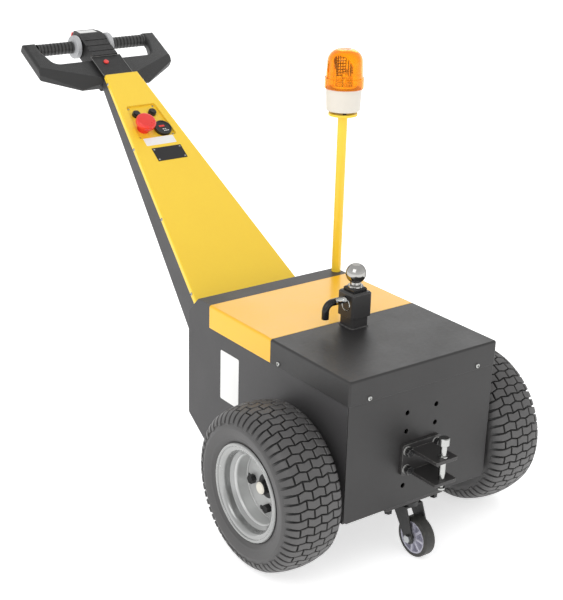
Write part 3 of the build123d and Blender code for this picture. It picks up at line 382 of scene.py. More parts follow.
@dataclass(frozen=True)
class LensFinish(Finish):
    """Clear coloured plastic that light passes through, with tinted reflections."""

    sheen: Rgb = (255, 205, 150)
    facing_blend: float = 0.3
    clear: float = 0.96
    specular: float = 0.3
    ior: float = 1.49

    def build(self) -> bpy.types.Material:
        """Builds a coloured transmitting material, deeper where it is seen edge on, with a faint moulded ripple and a
        faint painted glow.
        """
        graph = Graph(self.name)
        wide = graph.noise(self.drift_scale, 2.0)
        first = np.array(linear(self.tone.colour)[:3])
        dark = (*map(float, first * (1 - self.drift)), 1.0)
        facing = graph.add("ShaderNodeLayerWeight", {"Blend": self.facing_blend}).outputs["Facing"]
        plain = graph.mix(wide, linear(self.tone.colour), dark)
        outline = linear(self.edge_tone or self.tone.colour)
        low = self.tone.roughness
        graph.set("Base Color", graph.mix(facing, plain, outline))
        graph.set("Roughness", graph.span(wide, *SHADE_RANGE, low, low + self.rough_drift))
        graph.set("Normal", graph.bump(graph.noise(self.grain_scale, 1.0), self.grain_depth))
        graph.set("Transmission Weight", self.clear)
        graph.set("Specular IOR Level", self.specular)
        graph.set("Specular Tint", linear(self.sheen))
        # Painted light: the unlit lens glows faintly in its edge colour to brighten it.
        graph.set("Emission Color", outline)
        graph.set("Emission Strength", self.glow)
        graph.set("IOR", self.ior)
        return graph.material


YELLOW = Finish("yellow_powder_coat", Tone((255, 213, 55), 0.36), drift=0.025, coat=0.15, coat_roughness=0.16,
                edge_tone=(255, 232, 130), edge_share=0.6, grain_depth=0.00008)
# The lid's yellow powder coat, made darker and more orange for the hood: painted shade offsetting its brightly lit
# top.
HOOD_YELLOW_PAINTED_SHADE = Finish("hood_powder_coat_painted_shade", Tone((252, 190, 28), 0.36), drift=0.025, coat=0.22, coat_roughness=0.05,
                     edge_tone=(255, 224, 120), edge_share=0.6, grain_depth=0.00008)
CHARCOAL = Finish("charcoal_powder_coat", Tone((62, 61, 62), 0.5), Grain.SAND, 900.0, 0.0001,
                  edge_tone=(140, 140, 142), edge_share=0.5)
BLACK_COVER = Finish("satin_black_cover", Tone((41, 40, 40), 0.44), Grain.SAND, 1100.0, 0.00007,
                     edge_tone=(120, 120, 120), edge_share=0.5)
BLACK_PART = Finish("black_painted_steel", Tone((52, 51, 51), 0.4), Grain.SAND, 700.0, 0.00009,
                    edge_radius=0.002, edge_tone=(150, 148, 144), edge_share=0.75)
BLACK_STEEL = Finish("black_oxide_steel", Tone((30, 30, 31), 0.22, 0.25), Grain.DRAWN, 500.0, 0.00004,
                     edge_tone=(150, 148, 142), edge_share=0.5)
FORK = Finish("caster_fork_paint", Tone((40, 40, 40), 0.42), Grain.SAND, 700.0, 0.00009,
              edge_tone=(120, 118, 114), edge_share=0.45,
              second=Tone((196, 198, 200), 0.28, 0.95), zone=Zone.BEYOND_X, limit=0.0272)
BOLTS = Finish("bracket_bolt_steel", Tone((48, 48, 49), 0.3, 0.4), Grain.SAND, 800.0, 0.00005,
               edge_tone=(200, 199, 195), edge_share=0.9,
               second=Tone((222, 222, 220), 0.3, 0.5), zone=Zone.BEHIND_Y,
               limit=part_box("bracket_bolts")[0].y + 0.0121)
INNER = Finish("inner_housing_black", Tone((20, 20, 21), 0.6), Grain.SAND, 500.0, 0.0001)
# Tyre rubber: groove_shade_tone is painted shade in the grooves and on the walls, edge_tone a painted highlight on
# block edges; the dust is real.
TYRE = Finish("tyre_rubber", Tone((84, 83, 83), 0.48), Grain.SAND, 650.0, 0.0001, drift=0.09, drift_scale=9.0,
              edge_radius=0.0009, edge_tone=(146, 145, 143), edge_share=0.8, dust=0.03, groove_shade_tone=(32, 32, 32))
# Silver rim paint; the disc near the axle takes a lighter second tone, painted light lifting it out of the shade
# inside the rim.
RIM = Finish("silver_rim_paint", Tone((158, 159, 158), 0.22, 0.6), Grain.PEEL, 240.0, 0.00003, drift=0.03,
             edge_radius=0.0003, coat=0.3, coat_roughness=0.1,
             second=Tone((196, 197, 196), 0.3, 0.35), zone=Zone.NEAR_LINE, limit=0.088)
HUB = Finish("hub_steel", Tone((22, 22, 23), 0.4, 0.2), Grain.SAND, 600.0, 0.00008,
             edge_tone=(90, 90, 92), edge_share=0.4,
             second=Tone((222, 218, 206), 0.42), zone=Zone.NEAR_LINE, limit=0.0155)
ZINC = Finish("bright_zinc", Tone((186, 187, 185), 0.2, 1.0), Grain.TURNED, 900.0, 0.00003, drift=0.07,
              drift_scale=40.0, edge_radius=0.0006, rim_tint=0.45)
CHROME = Finish("chromed_ball", Tone((178, 177, 174), 0.08, 1.0), Grain.TURNED, 700.0, 0.00001, drift=0.05,
                drift_scale=30.0, rough_drift=0.04, edge_radius=0.0008, rim_tint=0.2)
TREAD = Finish("caster_tread_rubber", Tone((44, 44, 42), 0.5), Grain.SAND, 600.0, 0.0001, drift=0.08, dust=0.08,
               edge_radius=0.0008)
CASTER_HUB = Finish("caster_hub_nylon", Tone((184, 183, 196), 0.42), Grain.SAND, 800.0, 0.00006, drift=0.05,
                    edge_radius=0.0008, edge_tone=(206, 205, 214))
TILLER = Finish("grained_black_plastic", Tone((39, 39, 39), 0.46), Grain.LEATHER, 620.0, 0.00012, drift=0.05,
                edge_radius=0.003, edge_tone=(84, 84, 84), edge_share=0.45)
CONSOLE = Finish("console_plastic", Tone((28, 27, 27), 0.54), Grain.LEATHER, 620.0, 0.00012, drift=0.05,
                 edge_radius=0.002, edge_tone=(96, 96, 96), edge_share=0.6)
GRIP_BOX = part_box("tiller_grips")
# One black rubber in two tones: lighter rib tops as painted highlight, darker grooves near the grip's axis as painted
# shade.
GRIP = Finish("grip_sleeve_rubber", Tone((64, 64, 64), 0.42), Grain.SAND, 900.0, 0.00012, drift=0.1,
              edge_radius=0.0008, edge_tone=(104, 104, 104), edge_share=0.6,
              second=Tone((30, 30, 30), 0.5), zone=Zone.NEAR_LINE, limit=0.0176,
              line=((GRIP_BOX[0].y + GRIP_BOX[1].y) / 2, (GRIP_BOX[0].z + GRIP_BOX[1].z) / 2))
THUMB = Finish("light_grey_plastic", Tone((182, 183, 185), 0.4), Grain.SAND, 900.0, 0.00005, drift=0.03,
               edge_radius=0.001, edge_tone=(220, 220, 222))
RED = Finish("red_moulding", Tone((236, 50, 42), 0.28), Grain.SAND, 500.0, 0.00005, drift=0.04, coat=0.3,
             edge_radius=0.001, edge_tone=(255, 120, 110))
PANEL_BLACK = Finish("black_panel_plastic", Tone((30, 30, 31), 0.4), Grain.SAND, 900.0, 0.00006,
                     edge_radius=0.0008, edge_tone=(96, 96, 96))
BEACON_WHITE = Finish("off_white_plastic", Tone((224, 219, 209), 0.45), Grain.SAND, 700.0, 0.00005, drift=0.02,
                      edge_radius=0.001)
SPACERS = Finish("beacon_plate_paint", Tone((255, 214, 60), 0.38), drift=0.03, edge_tone=(255, 224, 120),
                 second=Tone((20, 20, 20), 0.6), zone=Zone.ABOVE_Z, limit=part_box("beacon_base")[0].z - 0.0068)
# Amber lens; its glow is painted light brightening the unlit lens.
AMBER = LensFinish("amber_lens", Tone((255, 198, 52), 0.03), grain_scale=60.0, grain_depth=0.0003, drift=0.08,
                   drift_scale=18.0, edge_tone=(255, 118, 14), glow=0.06)
SILVERED = Finish("silvered_reflector", Tone((255, 246, 226), 0.12, 1.0), Grain.DRAWN, 120.0, 0.0006, drift=0.1,
                  drift_scale=30.0)
# Dark ribs: painted shade between the reflector's facets.
RIB_SHADE = Finish("reflector_rib_painted_shade", Tone((62, 34, 14), 0.3, 0.4), Grain.SAND, 700.0, 0.00005, edge_radius=0.0003)
LABEL = Finish("blank_white_label", Tone((240, 240, 238), 0.4), Grain.SAND, 900.0, 0.00002, drift=0.02,
               edge_radius=0.0002)
PLATE = Finish("black_anodised_plate", Tone((38, 37, 38), 0.35, 0.3), Grain.DRAWN, 700.0, 0.00002, drift=0.06,
               edge_radius=0.0002)
# Light grey beads: painted glints on the edges of the console panel.
GLINT_BEAD = Finish("painted_glint_bead", Tone((132, 132, 130), 0.5), Grain.SAND, 900.0, 0.00004, edge_radius=0.0002)
FLOOR = Finish("pale_floor", Tone((251, 251, 251), 0.75), Grain.SAND, 40.0, 0.0002, drift=0.01, drift_scale=2.0,
               glow=0.6)

NODE_FINISH: dict[str, Finish] = {
    "ball_insert": BLACK_STEEL, "battery_hood": HOOD_YELLOW_PAINTED_SHADE, "battery_pack": INNER, "beacon_base": BEACON_WHITE,
    "beacon_bracket": SPACERS, "beacon_lens": AMBER, "beacon_mast": YELLOW, "beacon_reflector": SILVERED,
    "body_shell": CHARCOAL, "bracket_bolts": BOLTS, "caster_bolts": BLACK_STEEL, "caster_mounts": BLACK_PART,
    "column_cover": YELLOW, "control_panel": YELLOW, "drive_unit": INNER, "drop_pin": ZINC,
    "emergency_stop": RED, "front_caster_fork": FORK, "front_caster_hub": CASTER_HUB, "front_caster_tread": TREAD,
    "front_cover": BLACK_COVER, "front_plate": BLACK_COVER, "handle_column": CHARCOAL, "hitch_bracket": BLACK_PART,
    "hitch_pin": BLACK_STEEL, "hub_left": HUB, "hub_right": HUB, "key_gauge": PANEL_BLACK,
    "panel_buttons": PANEL_BLACK, "pin_latch": ZINC, "rear_caster_fork": FORK, "rear_caster_hub": CASTER_HUB,
    "rear_caster_tread": TREAD, "receiver_tube": BLACK_PART, "reverse_button": RED, "rim_left": RIM,
    "rim_right": RIM, "status_lamp": RED, "thumb_wheels": THUMB, "tiller_console": CONSOLE, "tiller_frame": TILLER,
    "tiller_grips": GRIP, "tow_ball": CHROME, "tyre_left": TYRE, "tyre_right": TYRE,
}


@dataclass(frozen=True)
class Place:
    """A local frame: its origin and the directions of its three axes."""

    origin: Point
    x: Point = (1.0, 0.0, 0.0)
    y: Point = (0.0, 1.0, 0.0)
    z: Point = (0.0, 0.0, 1.0)

    def put(self, local: Array) -> Array:
        """Local points in the row frame: the origin plus each local value times its axis."""
        return np.asarray(self.origin, float) + np.asarray(local, float) @ np.array([self.x, self.y, self.z], float)


@dataclass
class Skin:
    """Points and four-sided faces of a surface before it becomes a mesh, with shares of painted groove shade if it
    has any.
    """

    points: Array
    faces: Array
    painted_shade: Array | None = None

    @classmethod
    def grid(cls, points: Array, wrap_u: bool = False, wrap_v: bool = False) -> "Skin":
        """Faces between neighbours of a grid of points.

        Args:
            points: rows by columns by 3.
            wrap_u: the last row joins the first.
            wrap_v: the last column joins the first.

        Returns:
            The surface.
        """
        rows, cols = points.shape[:2]
        i, j = np.meshgrid(np.arange(rows - (not wrap_u)), np.arange(cols - (not wrap_v)), indexing="ij")
        k, m = (i + 1) % rows, (j + 1) % cols
        faces = np.stack([i * cols + j, i * cols + m, k * cols + m, k * cols + j], -1)
        return cls(points.reshape(-1, 3), faces.reshape(-1, 4))

    @classmethod
    def join(cls, *skins: "Skin") -> "Skin":
        """Several surfaces as one.

        Args:
            skins: the surfaces, in order.

        Returns:
            One surface; a skin without shares of painted shade counts as 0.
        """
        starts = np.cumsum([0] + [len(s.points) for s in skins[:-1]])
        faces = [s.faces + start for s, start in zip(skins, starts)]
        painted_shade = [np.zeros(len(s.points)) if s.painted_shade is None else s.painted_shade for s in skins]
        return cls(np.concatenate([s.points for s in skins]), np.concatenate(faces), np.concatenate(painted_shade))

    def mesh(self, name: str) -> bpy.types.Mesh:
        """The surface as a mesh.

        Args:
            name: the mesh's name.

        Returns:
            A mesh with its poles closed, its faces outwards and its hard edges marked.
        """
        mesh = bpy.data.meshes.new(name)
        mesh.from_pydata(self.points.tolist(), [], self.faces.tolist())
        if self.painted_shade is not None and self.painted_shade.any():
            mesh.attributes.new(GROOVE_SHADE_ATTRIBUTE, "FLOAT", "POINT").data.foreach_set("value", self.painted_shade.astype(np.float32))
        work = bmesh.new()
        work.from_mesh(mesh)
        bmesh.ops.remove_doubles(work, verts=work.verts, dist=MERGE)
        bmesh.ops.recalc_face_normals(work, faces=work.faces)
        work.to_mesh(mesh)
        work.free()
        mesh.polygons.foreach_set("use_smooth", np.ones(len(mesh.polygons), bool))
        mesh.set_sharp_from_angle(angle=radians(SHARP_DEG))
        return mesh


def piece(name: str, skin: Skin, finish: Finish, body: str = "chassis",
          stands_for: tuple[str, ...] = ()) -> bpy.types.Object:
    """Makes a finished piece and lets it ride on a CAD body.

    Args:
        name: the piece's name.
        skin: its surface in the row frame.
        finish: its finish.
        body: the CAD body that carries it.
        stands_for: CAD nodes that it replaces.

    Returns:
        The new object.
    """
    obj = bpy.data.objects.new(name, skin.mesh(name))
    bpy.context.scene.collection.objects.link(obj)
    obj.data.materials.append(finish.material())
    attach(obj, body)
    if stands_for:
        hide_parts(*stands_for)
    log.info("%s rides on %s, %d faces", name, body, len(obj.data.polygons))
    return obj


def turned(profile: Array, place: Place, sides: int = 40) -> Skin:
    """A profile turned about an axis: (r cos t, r sin t, h) for each profile point (r, h).

    Args:
        profile: radius and height of each point.
        place: the frame whose z is the axis.
        sides: steps round the axis.

    Returns:
        The surface.
    """
    t = np.linspace(0.0, 2 * pi, sides, endpoint=False)[:, None]
    r, h = np.asarray(profile, float).T
    local = np.stack([r * np.cos(t), r * np.sin(t), np.broadcast_to(h, (sides, len(h)))], -1)
    return Skin.grid(place.put(local), wrap_u=True)


def rounded(half_x: float, half_y: float, radius: float, steps: int = 5) -> Array:
    """Outline of a rounded rectangle: four corner arcs of the radius about the corner centres.

    Args:
        half_x: half the width.
        half_y: half the height.
        radius: corner radius.
        steps: points in each corner.

    Returns:
        Points of the outline, two values each.
    """
    t = np.linspace(0.0, pi / 2, steps) + np.arange(4)[:, None] * pi / 2
    cx = np.array([1, -1, -1, 1])[:, None] * (half_x - radius)
    cy = np.array([1, 1, -1, -1])[:, None] * (half_y - radius)
    return np.stack([cx + radius * np.cos(t), cy + radius * np.sin(t)], -1).reshape(-1, 2)


def slab(outline: Array, thick: float, edge: float, place: Place) -> Skin:
    """A plate from z 0 to thick: the outline carried up, drawn in by edge at the top, and closed by fans.

    Args:
        outline: points of the plate's edge, two values each.
        thick: thickness.
        edge: how far the upper edge is drawn in.
        place: the frame of the outline.

    Returns:
        The surface.
    """
    middle = outline.mean(0)
    span = np.ptp(outline, axis=0) / 2
    rings = [(0.0, 0.0), (1.0, 0.0), (1.0, thick - edge), (1.0 - edge / span, thick), (0.0, thick)]
    flat = np.stack([middle + (outline - middle) * share for share, _ in rings])
    level = np.broadcast_to(np.array([z for _, z in rings])[:, None], flat.shape[:2])
    return Skin.grid(place.put(np.concatenate([flat, level[..., None]], -1)), wrap_v=True)


def tube(path: Array, radius: float, normal: Point, sides: int = 14, closed: bool = False) -> Skin:
    """A circle carried along a flat path: path + radius (cos t across + sin t normal).

    Args:
        path: points of the middle line.
        radius: the circle's radius.
        normal: unit normal of the path's plane.
        sides: points round the circle.
        closed: the path's end joins its start; an open path gets domed ends.

    Returns:
        The surface.
    """
    n = np.asarray(normal, float)
    ahead = np.roll(path, -1, 0) - np.roll(path, 1, 0) if closed else np.gradient(path, axis=0)
    ahead /= np.linalg.norm(ahead, axis=1, keepdims=True)
    across = np.cross(ahead, n)
    t = np.linspace(0.0, 2 * pi, sides, endpoint=False)
    ring = np.cos(t)[None, :, None] * across[:, None] + np.sin(t)[None, :, None] * n
    points = path[:, None] + radius * ring
    if not closed:
        first, last = np.repeat(path[:1], sides, 0), np.repeat(path[-1:], sides, 0)
        near = path[0] + DOME_R * radius * ring[0] - DOME_OUT * radius * ahead[0]
        far = path[-1] + DOME_R * radius * ring[-1] + DOME_OUT * radius * ahead[-1]
        tips = first - DOME_TIP * radius * ahead[0], last + DOME_TIP * radius * ahead[-1]
        points = np.concatenate([tips[0][None], near[None], points, far[None], tips[1][None]])
    return Skin.grid(points, wrap_u=closed, wrap_v=True)


def screw(place: Place, radius: float, height: float, sides: int = 24) -> Skin:
    """A domed screw head with a six-sided socket; the hexagon's reach is a / cos of the angle off its flat.

    Args:
        place: the frame whose z leaves the surface.
        radius: the head's radius.
        height: the head's height.
        sides: points round the head.

    Returns:
        The surface.
    """
    t = np.linspace(0.0, 2 * pi, sides, endpoint=False)
    hexagon = SOCKET_REACH * radius / np.cos((t + pi / 6) % (pi / 3) - pi / 6)
    floor = SOCKET_FLOOR * height
    rings = [(np.zeros(sides), 0.0), *((np.full(sides, share * radius), up * height) for share, up in HEAD_SHARES),
             (hexagon, height), (SOCKET_TAPER * hexagon, floor), (np.zeros(sides), floor)]
    local = np.stack([np.stack([r * np.cos(t), r * np.sin(t), np.full(sides, h)], -1) for r, h in rings])
    return Skin.grid(place.put(local), wrap_v=True)


def rivet(place: Place, radius: float, height: float) -> Skin:
    """A low dome: radius times the cosine and height times the sine of the angle above its rim.

    Args:
        place: the frame whose z leaves the surface.
        radius: the rivet's radius.
        height: the rivet's height.

    Returns:
        The surface.
    """
    a = np.linspace(0.0, pi / 2, 6)
    dome = np.stack([radius * np.cos(a), height * np.sin(a)], -1)
    return turned(np.concatenate([[(0.0, 0.0)], dome]), place, sides=20)


@dataclass
class Slope:
    """A tilted face of the handle: places on it are given down or up the slope, across it and off it."""

    tilt: float
    top_y: float = AXLE_Y + 1.218
    top_z: float = 0.936

    def at(self, a: float, x: float = 0.0, off: float = 0.0) -> Place:
        """Frame on the face.

        Args:
            a: distance up the slope from the column's top edge.
            x: distance across.
            off: distance off the face.

        Returns:
            A frame whose z leaves the face and whose y runs up the slope.
        """
        t = radians(self.tilt)
        origin = (x, self.top_y + a * cos(t) - off * sin(t), self.top_z + a * sin(t) + off * cos(t))
        return Place(origin, (1, 0, 0), (0, cos(t), sin(t)), (0, -sin(t), cos(t)))


@dataclass
class DriveWheel:
    """A pneumatic turf tyre on a pressed rim, with lug studs."""

    name: str
    side: int
    centre_x: float = 0.318
    tyre_r: float = 0.203
    tread_half: float = 0.060
    crown_drop: float = 0.009
    wall_half: float = 0.079
    wall_r: float = 0.16155
    bead_half: float = 0.0655
    bead_r: float = 0.1203
    toe: tuple[tuple[float, float], ...] = ((0.0655, 0.111), (0.0629, 0.1042), (0.0565, 0.1016))
    block: float = 0.036
    courses: int = 58
    first_groove: float = 150.55
    zigzag: float = 0.0023
    groove: float = 0.0042
    groove_depth: float = 0.0064
    lug_flare: float = 0.055
    lug_ends: tuple[float, float] = (0.0955, 0.0905)
    across: int = 140
    around: int = 192
    # Share of painted shade on the sidewall, the bead and the lug ends down the wall.
    wall_shade: float = 0.3
    lip: tuple[float, float] = (0.1166, 0.0690)
    lip_half: tuple[float, float] = (0.0044, 0.0036)
    weld: tuple[float, float] = (0.0825, 0.0036)
    weld_r: float = 0.0021
    bulges: tuple[float, float, float] = (0.00225, 0.005, 0.003)
    wall_rings: tuple[tuple[float, float, float], ...] = ((0.0009, 0.128, 0.0022), (0.0005, 0.104, 0.0012))
    fade: tuple[float, float] = (0.104, 0.028)
    block_gap: float = 0.0002
    block_edge: float = 0.0009
    block_taper: float = 0.0007
    block_root: float = 0.0012
    shade_run: float = 0.03
    disc_out: float = 0.003
    stud_out: float = 0.0125
    stud_circle: float = 0.05715
    stud_turn: float = 6.2
    stud: tuple[tuple[float, float], ...] = ((0, 0), (0.0058, 0), (0.0058, 0.0008), (0.005, 0.0016), (0, 0.0018))
    profile: Array = field(init=False)
    reach: Array = field(init=False)

    def __post_init__(self) -> None:
        """Works out the cross-section as three arcs and the length along it."""
        corners = np.array([(0.0, self.tyre_r), (self.tread_half, self.tyre_r - self.crown_drop),
                            (self.wall_half, self.wall_r), (self.bead_half, self.bead_r)])
        arcs = [self.arc(p, q, bulge) for p, q, bulge in zip(corners, corners[1:], self.bulges)]
        self.profile = np.concatenate([arcs[0], arcs[1][1:], arcs[2][1:]])
        steps = np.linalg.norm(np.diff(self.profile, axis=0), axis=1)
        self.reach = np.concatenate([[0.0], np.cumsum(steps)])

    @staticmethod
    def arc(start: Array, end: Array, bulge: float) -> Array:
        """A shallow arc: the chord plus 4 bulge t (1 - t) along its outward normal.

        Args:
            start: first point, width and radius.
            end: last point.
            bulge: height of the arc over its chord.

        Returns:
            Points of the arc.
        """
        t = np.linspace(0.0, 1.0, 40)[:, None]
        d = end - start
        outward = np.array([-d[1], d[0]]) / np.linalg.norm(d)
        return start + d * t + outward * 4 * bulge * t * (1 - t)

    def surface(self, q: Array, angle: Array, lift: Array) -> Array:
        """Points of the tyre.

        Args:
            q: signed length along the cross-section from the crown.
            angle: angle about the axle, from the rear.
            lift: height off the tyre's outer face along its normal.

        Returns:
            Points in the row frame: the cross-section point plus lift times its normal, turned by the angle.
        """
        far = np.abs(q)
        w, r = (np.interp(far, self.reach, self.profile[:, i]) for i in (0, 1))
        step = 0.0008
        tw, tr = (np.interp(far + step, self.reach, self.profile[:, i])
                  - np.interp(np.maximum(far - step, 0.0), self.reach, self.profile[:, i]) for i in (0, 1))
        size = np.hypot(tw, tr)
        w = np.sign(q) * (w - tr / size * lift)
        r = r + tw / size * lift
        x = np.broadcast_to(self.side * self.centre_x + w, np.broadcast(w, angle).shape)
        return np.stack([x, AXLE_Y + r * np.cos(angle), AXLE_Z + r * np.sin(angle)], -1)

    def depth(self, q: Array) -> Array:
        """How far the carcass lies below the block tops: full under the tread, fading out down the wall."""
        return self.groove_depth * np.clip((self.fade[0] - np.abs(q)) / self.fade[1], 0.0, 1.0)

    def carcass(self) -> Skin:
        """The casing under the tread: the cross-section less the tread's depth, with two moulded wall rings."""
        end = self.reach[-1]
        q = np.linspace(-end, end, self.across)
        far = np.abs(q)
        rings = sum(high * np.exp(-((far - at) / wide) ** 2) for high, at, wide in self.wall_rings)
        angle = np.linspace(0.0, 2 * pi, self.around, endpoint=False)
        wall = self.surface(q[:, None], angle[None], (rings - self.depth(q))[:, None])
        toe = np.array(self.toe)
        w, r = np.concatenate([toe, toe[::-1] * (-1, 1)]).T[..., None]
        x = np.broadcast_to(self.side * self.centre_x + w, (len(w), len(angle)))
        bead = np.stack([x, AXLE_Y + r * np.cos(angle), AXLE_Z + r * np.sin(angle)], -1)
        skin = Skin.grid(np.concatenate([wall, bead]), wrap_u=True, wrap_v=True)
        # Painted shade share: full in the grooves, wall_shade on the sidewall and bead.
        share = np.concatenate([np.maximum(self.depth(q) / self.groove_depth, self.wall_shade),
                                np.full(len(w), self.wall_shade)])
        skin.painted_shade = np.repeat(share, len(angle))
        return skin

    def wave(self, q: Array) -> Array:
        """Zigzag of the cross grooves: a triangle wave one block long, straight outside the outer blocks."""
        inner = np.minimum(np.abs(q), 1.5 * self.block)
        return self.zigzag * (1 - 4 * np.abs((inner / self.block) % 1.0 - 0.5))

    def blocks(self, start: float, end: float, parity: int, samples: int) -> Skin:
        """One block of every second course, as a tapered slab on the casing.

        Args:
            start: length along the cross-section where the block begins, grooves left out.
            end: where it ends.
            parity: 0 or 1, the courses that carry it.
            samples: points along each long edge.

        Returns:
            All the blocks: rings of a base, a top edge and a drawn-in top, closed above and below.
        """
        pitch = 2 * pi / self.courses
        course = np.arange(parity, self.courses, 2)
        low = radians(self.first_groove) + pitch * course
        q = np.linspace(start, end, samples)
        ring_q = np.concatenate([q, q[::-1]])
        gap = self.groove / 2 + self.lug_flare * np.maximum(np.abs(q) - 1.5 * self.block, 0.0)
        course_s = pitch * self.tyre_r
        ring_s = np.concatenate([self.wave(q) + gap, (self.wave(q) + course_s - gap)[::-1]])
        mid_q, mid_s = (start + end) / 2, self.wave(ring_q) + course_s / 2
        half_q, half_s = abs(end - start) / 2, course_s / 2 - self.groove / 2
        edge = self.block_edge
        layers = []
        for grow, lift in ((self.block_taper, -self.depth(ring_q) - self.block_root),
                           (0.0, np.full_like(ring_q, -edge)), (-edge, np.zeros_like(ring_q))):
            lq = mid_q + (ring_q - mid_q) * (1 + grow / half_q)
            ls = mid_s + (ring_s - mid_s) * (1 + grow / half_s)
            layers.append(self.surface(lq[None], low[:, None] + ls[None] / self.tyre_r, lift[None]))
        points = np.stack(layers, 1)
        count, rings, size = points.shape[:3]
        i, j = np.meshgrid(np.arange(rings - 1), np.arange(size), indexing="ij")
        k = (j + 1) % size
        walls = np.stack([i * size + j, i * size + k, (i + 1) * size + k, (i + 1) * size + j], -1).reshape(-1, 4)
        m = np.arange(samples - 1)
        lid = np.stack([m, m + 1, size - 2 - m, size - 1 - m], -1)
        one = np.concatenate([walls, lid + (rings - 1) * size, lid[:, ::-1]])
        faces = one[None] + (np.arange(count) * rings * size)[:, None, None]
        # Painted shade share on the blocks: the groove depth at their roots, and wall_shade on the lug ends.
        top = self.wall_shade * np.clip((np.abs(ring_q) - self.tread_half) / self.shade_run, 0.0, 1.0)
        share = np.stack([np.maximum(self.depth(ring_q) / self.groove_depth, top), top, top])
        return Skin(points.reshape(-1, 3), faces.reshape(-1, 4), np.tile(share.ravel(), count))

    def tyre(self) -> Skin:
        """Casing, centre blocks in two staggered courses, and shoulder lugs that wrap onto the wall."""
        g, b = self.groove / 2 + self.block_gap, self.block
        rows = [(-b + g, -g, 0), (g, b - g, 0), (-1.5 * b + g, -0.5 * b - g, 1), (-0.5 * b + g, 0.5 * b - g, 1),
                (0.5 * b + g, 1.5 * b - g, 1)]
        skins = [self.blocks(start, end, parity, 5) for start, end, parity in rows]
        for sign in (-1, 1):
            for parity, start in ((0, b + g), (1, 1.5 * b + g)):
                skins.append(self.blocks(sign * start, sign * self.lug_ends[parity], parity, 9))
        return Skin.join(self.carcass(), *skins)

    def hoop(self, middle: tuple[float, float], half: tuple[float, float], out: float) -> Skin:
        """An oval carried round the axle: middle + half (cos t, sin t).

        Args:
            middle: the oval's middle, as radius and distance from the wheel's middle plane.
            half: its half sizes, in the same order.
            out: 1 or -1, the side of the wheel.

        Returns:
            The surface.
        """
        t = np.linspace(0.0, 2 * pi, 16)
        oval = np.stack([middle[0] + half[0] * np.cos(t), middle[1] + half[1] * np.sin(t)], -1)
        place = Place((self.side * self.centre_x, AXLE_Y, AXLE_Z), (0, 1, 0), (0, 0, out), (out, 0, 0))
        return turned(oval, place, sides=128)

    def build(self) -> None:
        """Makes the treaded tyre, the rim's rolled lips and disc weld, and the stud ends in the lug nuts."""
        body = f"{self.name}_drive_wheel"
        piece(f"turf_tyre_{self.name}", self.tyre(), TYRE, body, (f"tyre_{self.name}",))
        hoops = [self.hoop(self.lip, self.lip_half, out) for out in (-1.0, 1.0)]
        hoops.append(self.hoop(self.weld, (self.weld_r, self.weld_r), float(self.side)))
        piece(f"rim_lips_{self.name}", Skin.join(*hoops), RIM, body)
        disc = self.side * (self.centre_x + self.disc_out)
        studs = []
        for turn in np.radians(self.stud_turn + 90.0 * np.arange(4)):
            centre = (disc + self.side * self.stud_out, AXLE_Y + self.stud_circle * cos(turn),
                      AXLE_Z + self.stud_circle * sin(turn))
            out = Place(centre, (0, 1, 0), (0, 0, float(self.side)), (float(self.side), 0, 0))
            studs.append(turned(np.array(self.stud), out, sides=16))
        piece(f"lug_studs_{self.name}", Skin.join(*studs), BLACK_STEEL, body)


@dataclass
class Bodywork:
    """Screws of the front cover and the blank label on the side plate."""

    screw_r: float = 0.0062
    screw_h: float = 0.0032
    screw_z: float = 0.457
    front_x: float = 0.167
    side_y: float = AXLE_Y + 0.098
    label_y: tuple[float, float] = (AXLE_Y + 0.267, AXLE_Y + 0.348)
    label_z: tuple[float, float] = (0.269, 0.404)
    label_corner: float = 0.004
    label_thick: tuple[float, float] = (0.0005, 0.0002)

    def build(self) -> None:
        """Makes the cover screws and the side labels."""
        skins = []
        for x in (-self.front_x, self.front_x):
            front = Place((x, COVER_FRONT_Y, self.screw_z), (1, 0, 0), (0, 0, 1), (0, -1, 0))
            skins.append(screw(front, self.screw_r, self.screw_h))
        for side in (-1.0, 1.0):
            place = Place((side * COVER_HALF, self.side_y, self.screw_z), (0, side, 0), (0, 0, 1), (side, 0, 0))
            skins.append(screw(place, self.screw_r, self.screw_h))
        piece("cover_screws", Skin.join(*skins), ZINC)
        middle = (-BODY_HALF, sum(self.label_y) / 2, sum(self.label_z) / 2)
        outline = rounded(np.ptp(self.label_y) / 2, np.ptp(self.label_z) / 2, self.label_corner)
        place = Place(middle, (0, -1, 0), (0, 0, 1), (-1, 0, 0))
        piece("side_label", slab(outline, *self.label_thick, place), LABEL)


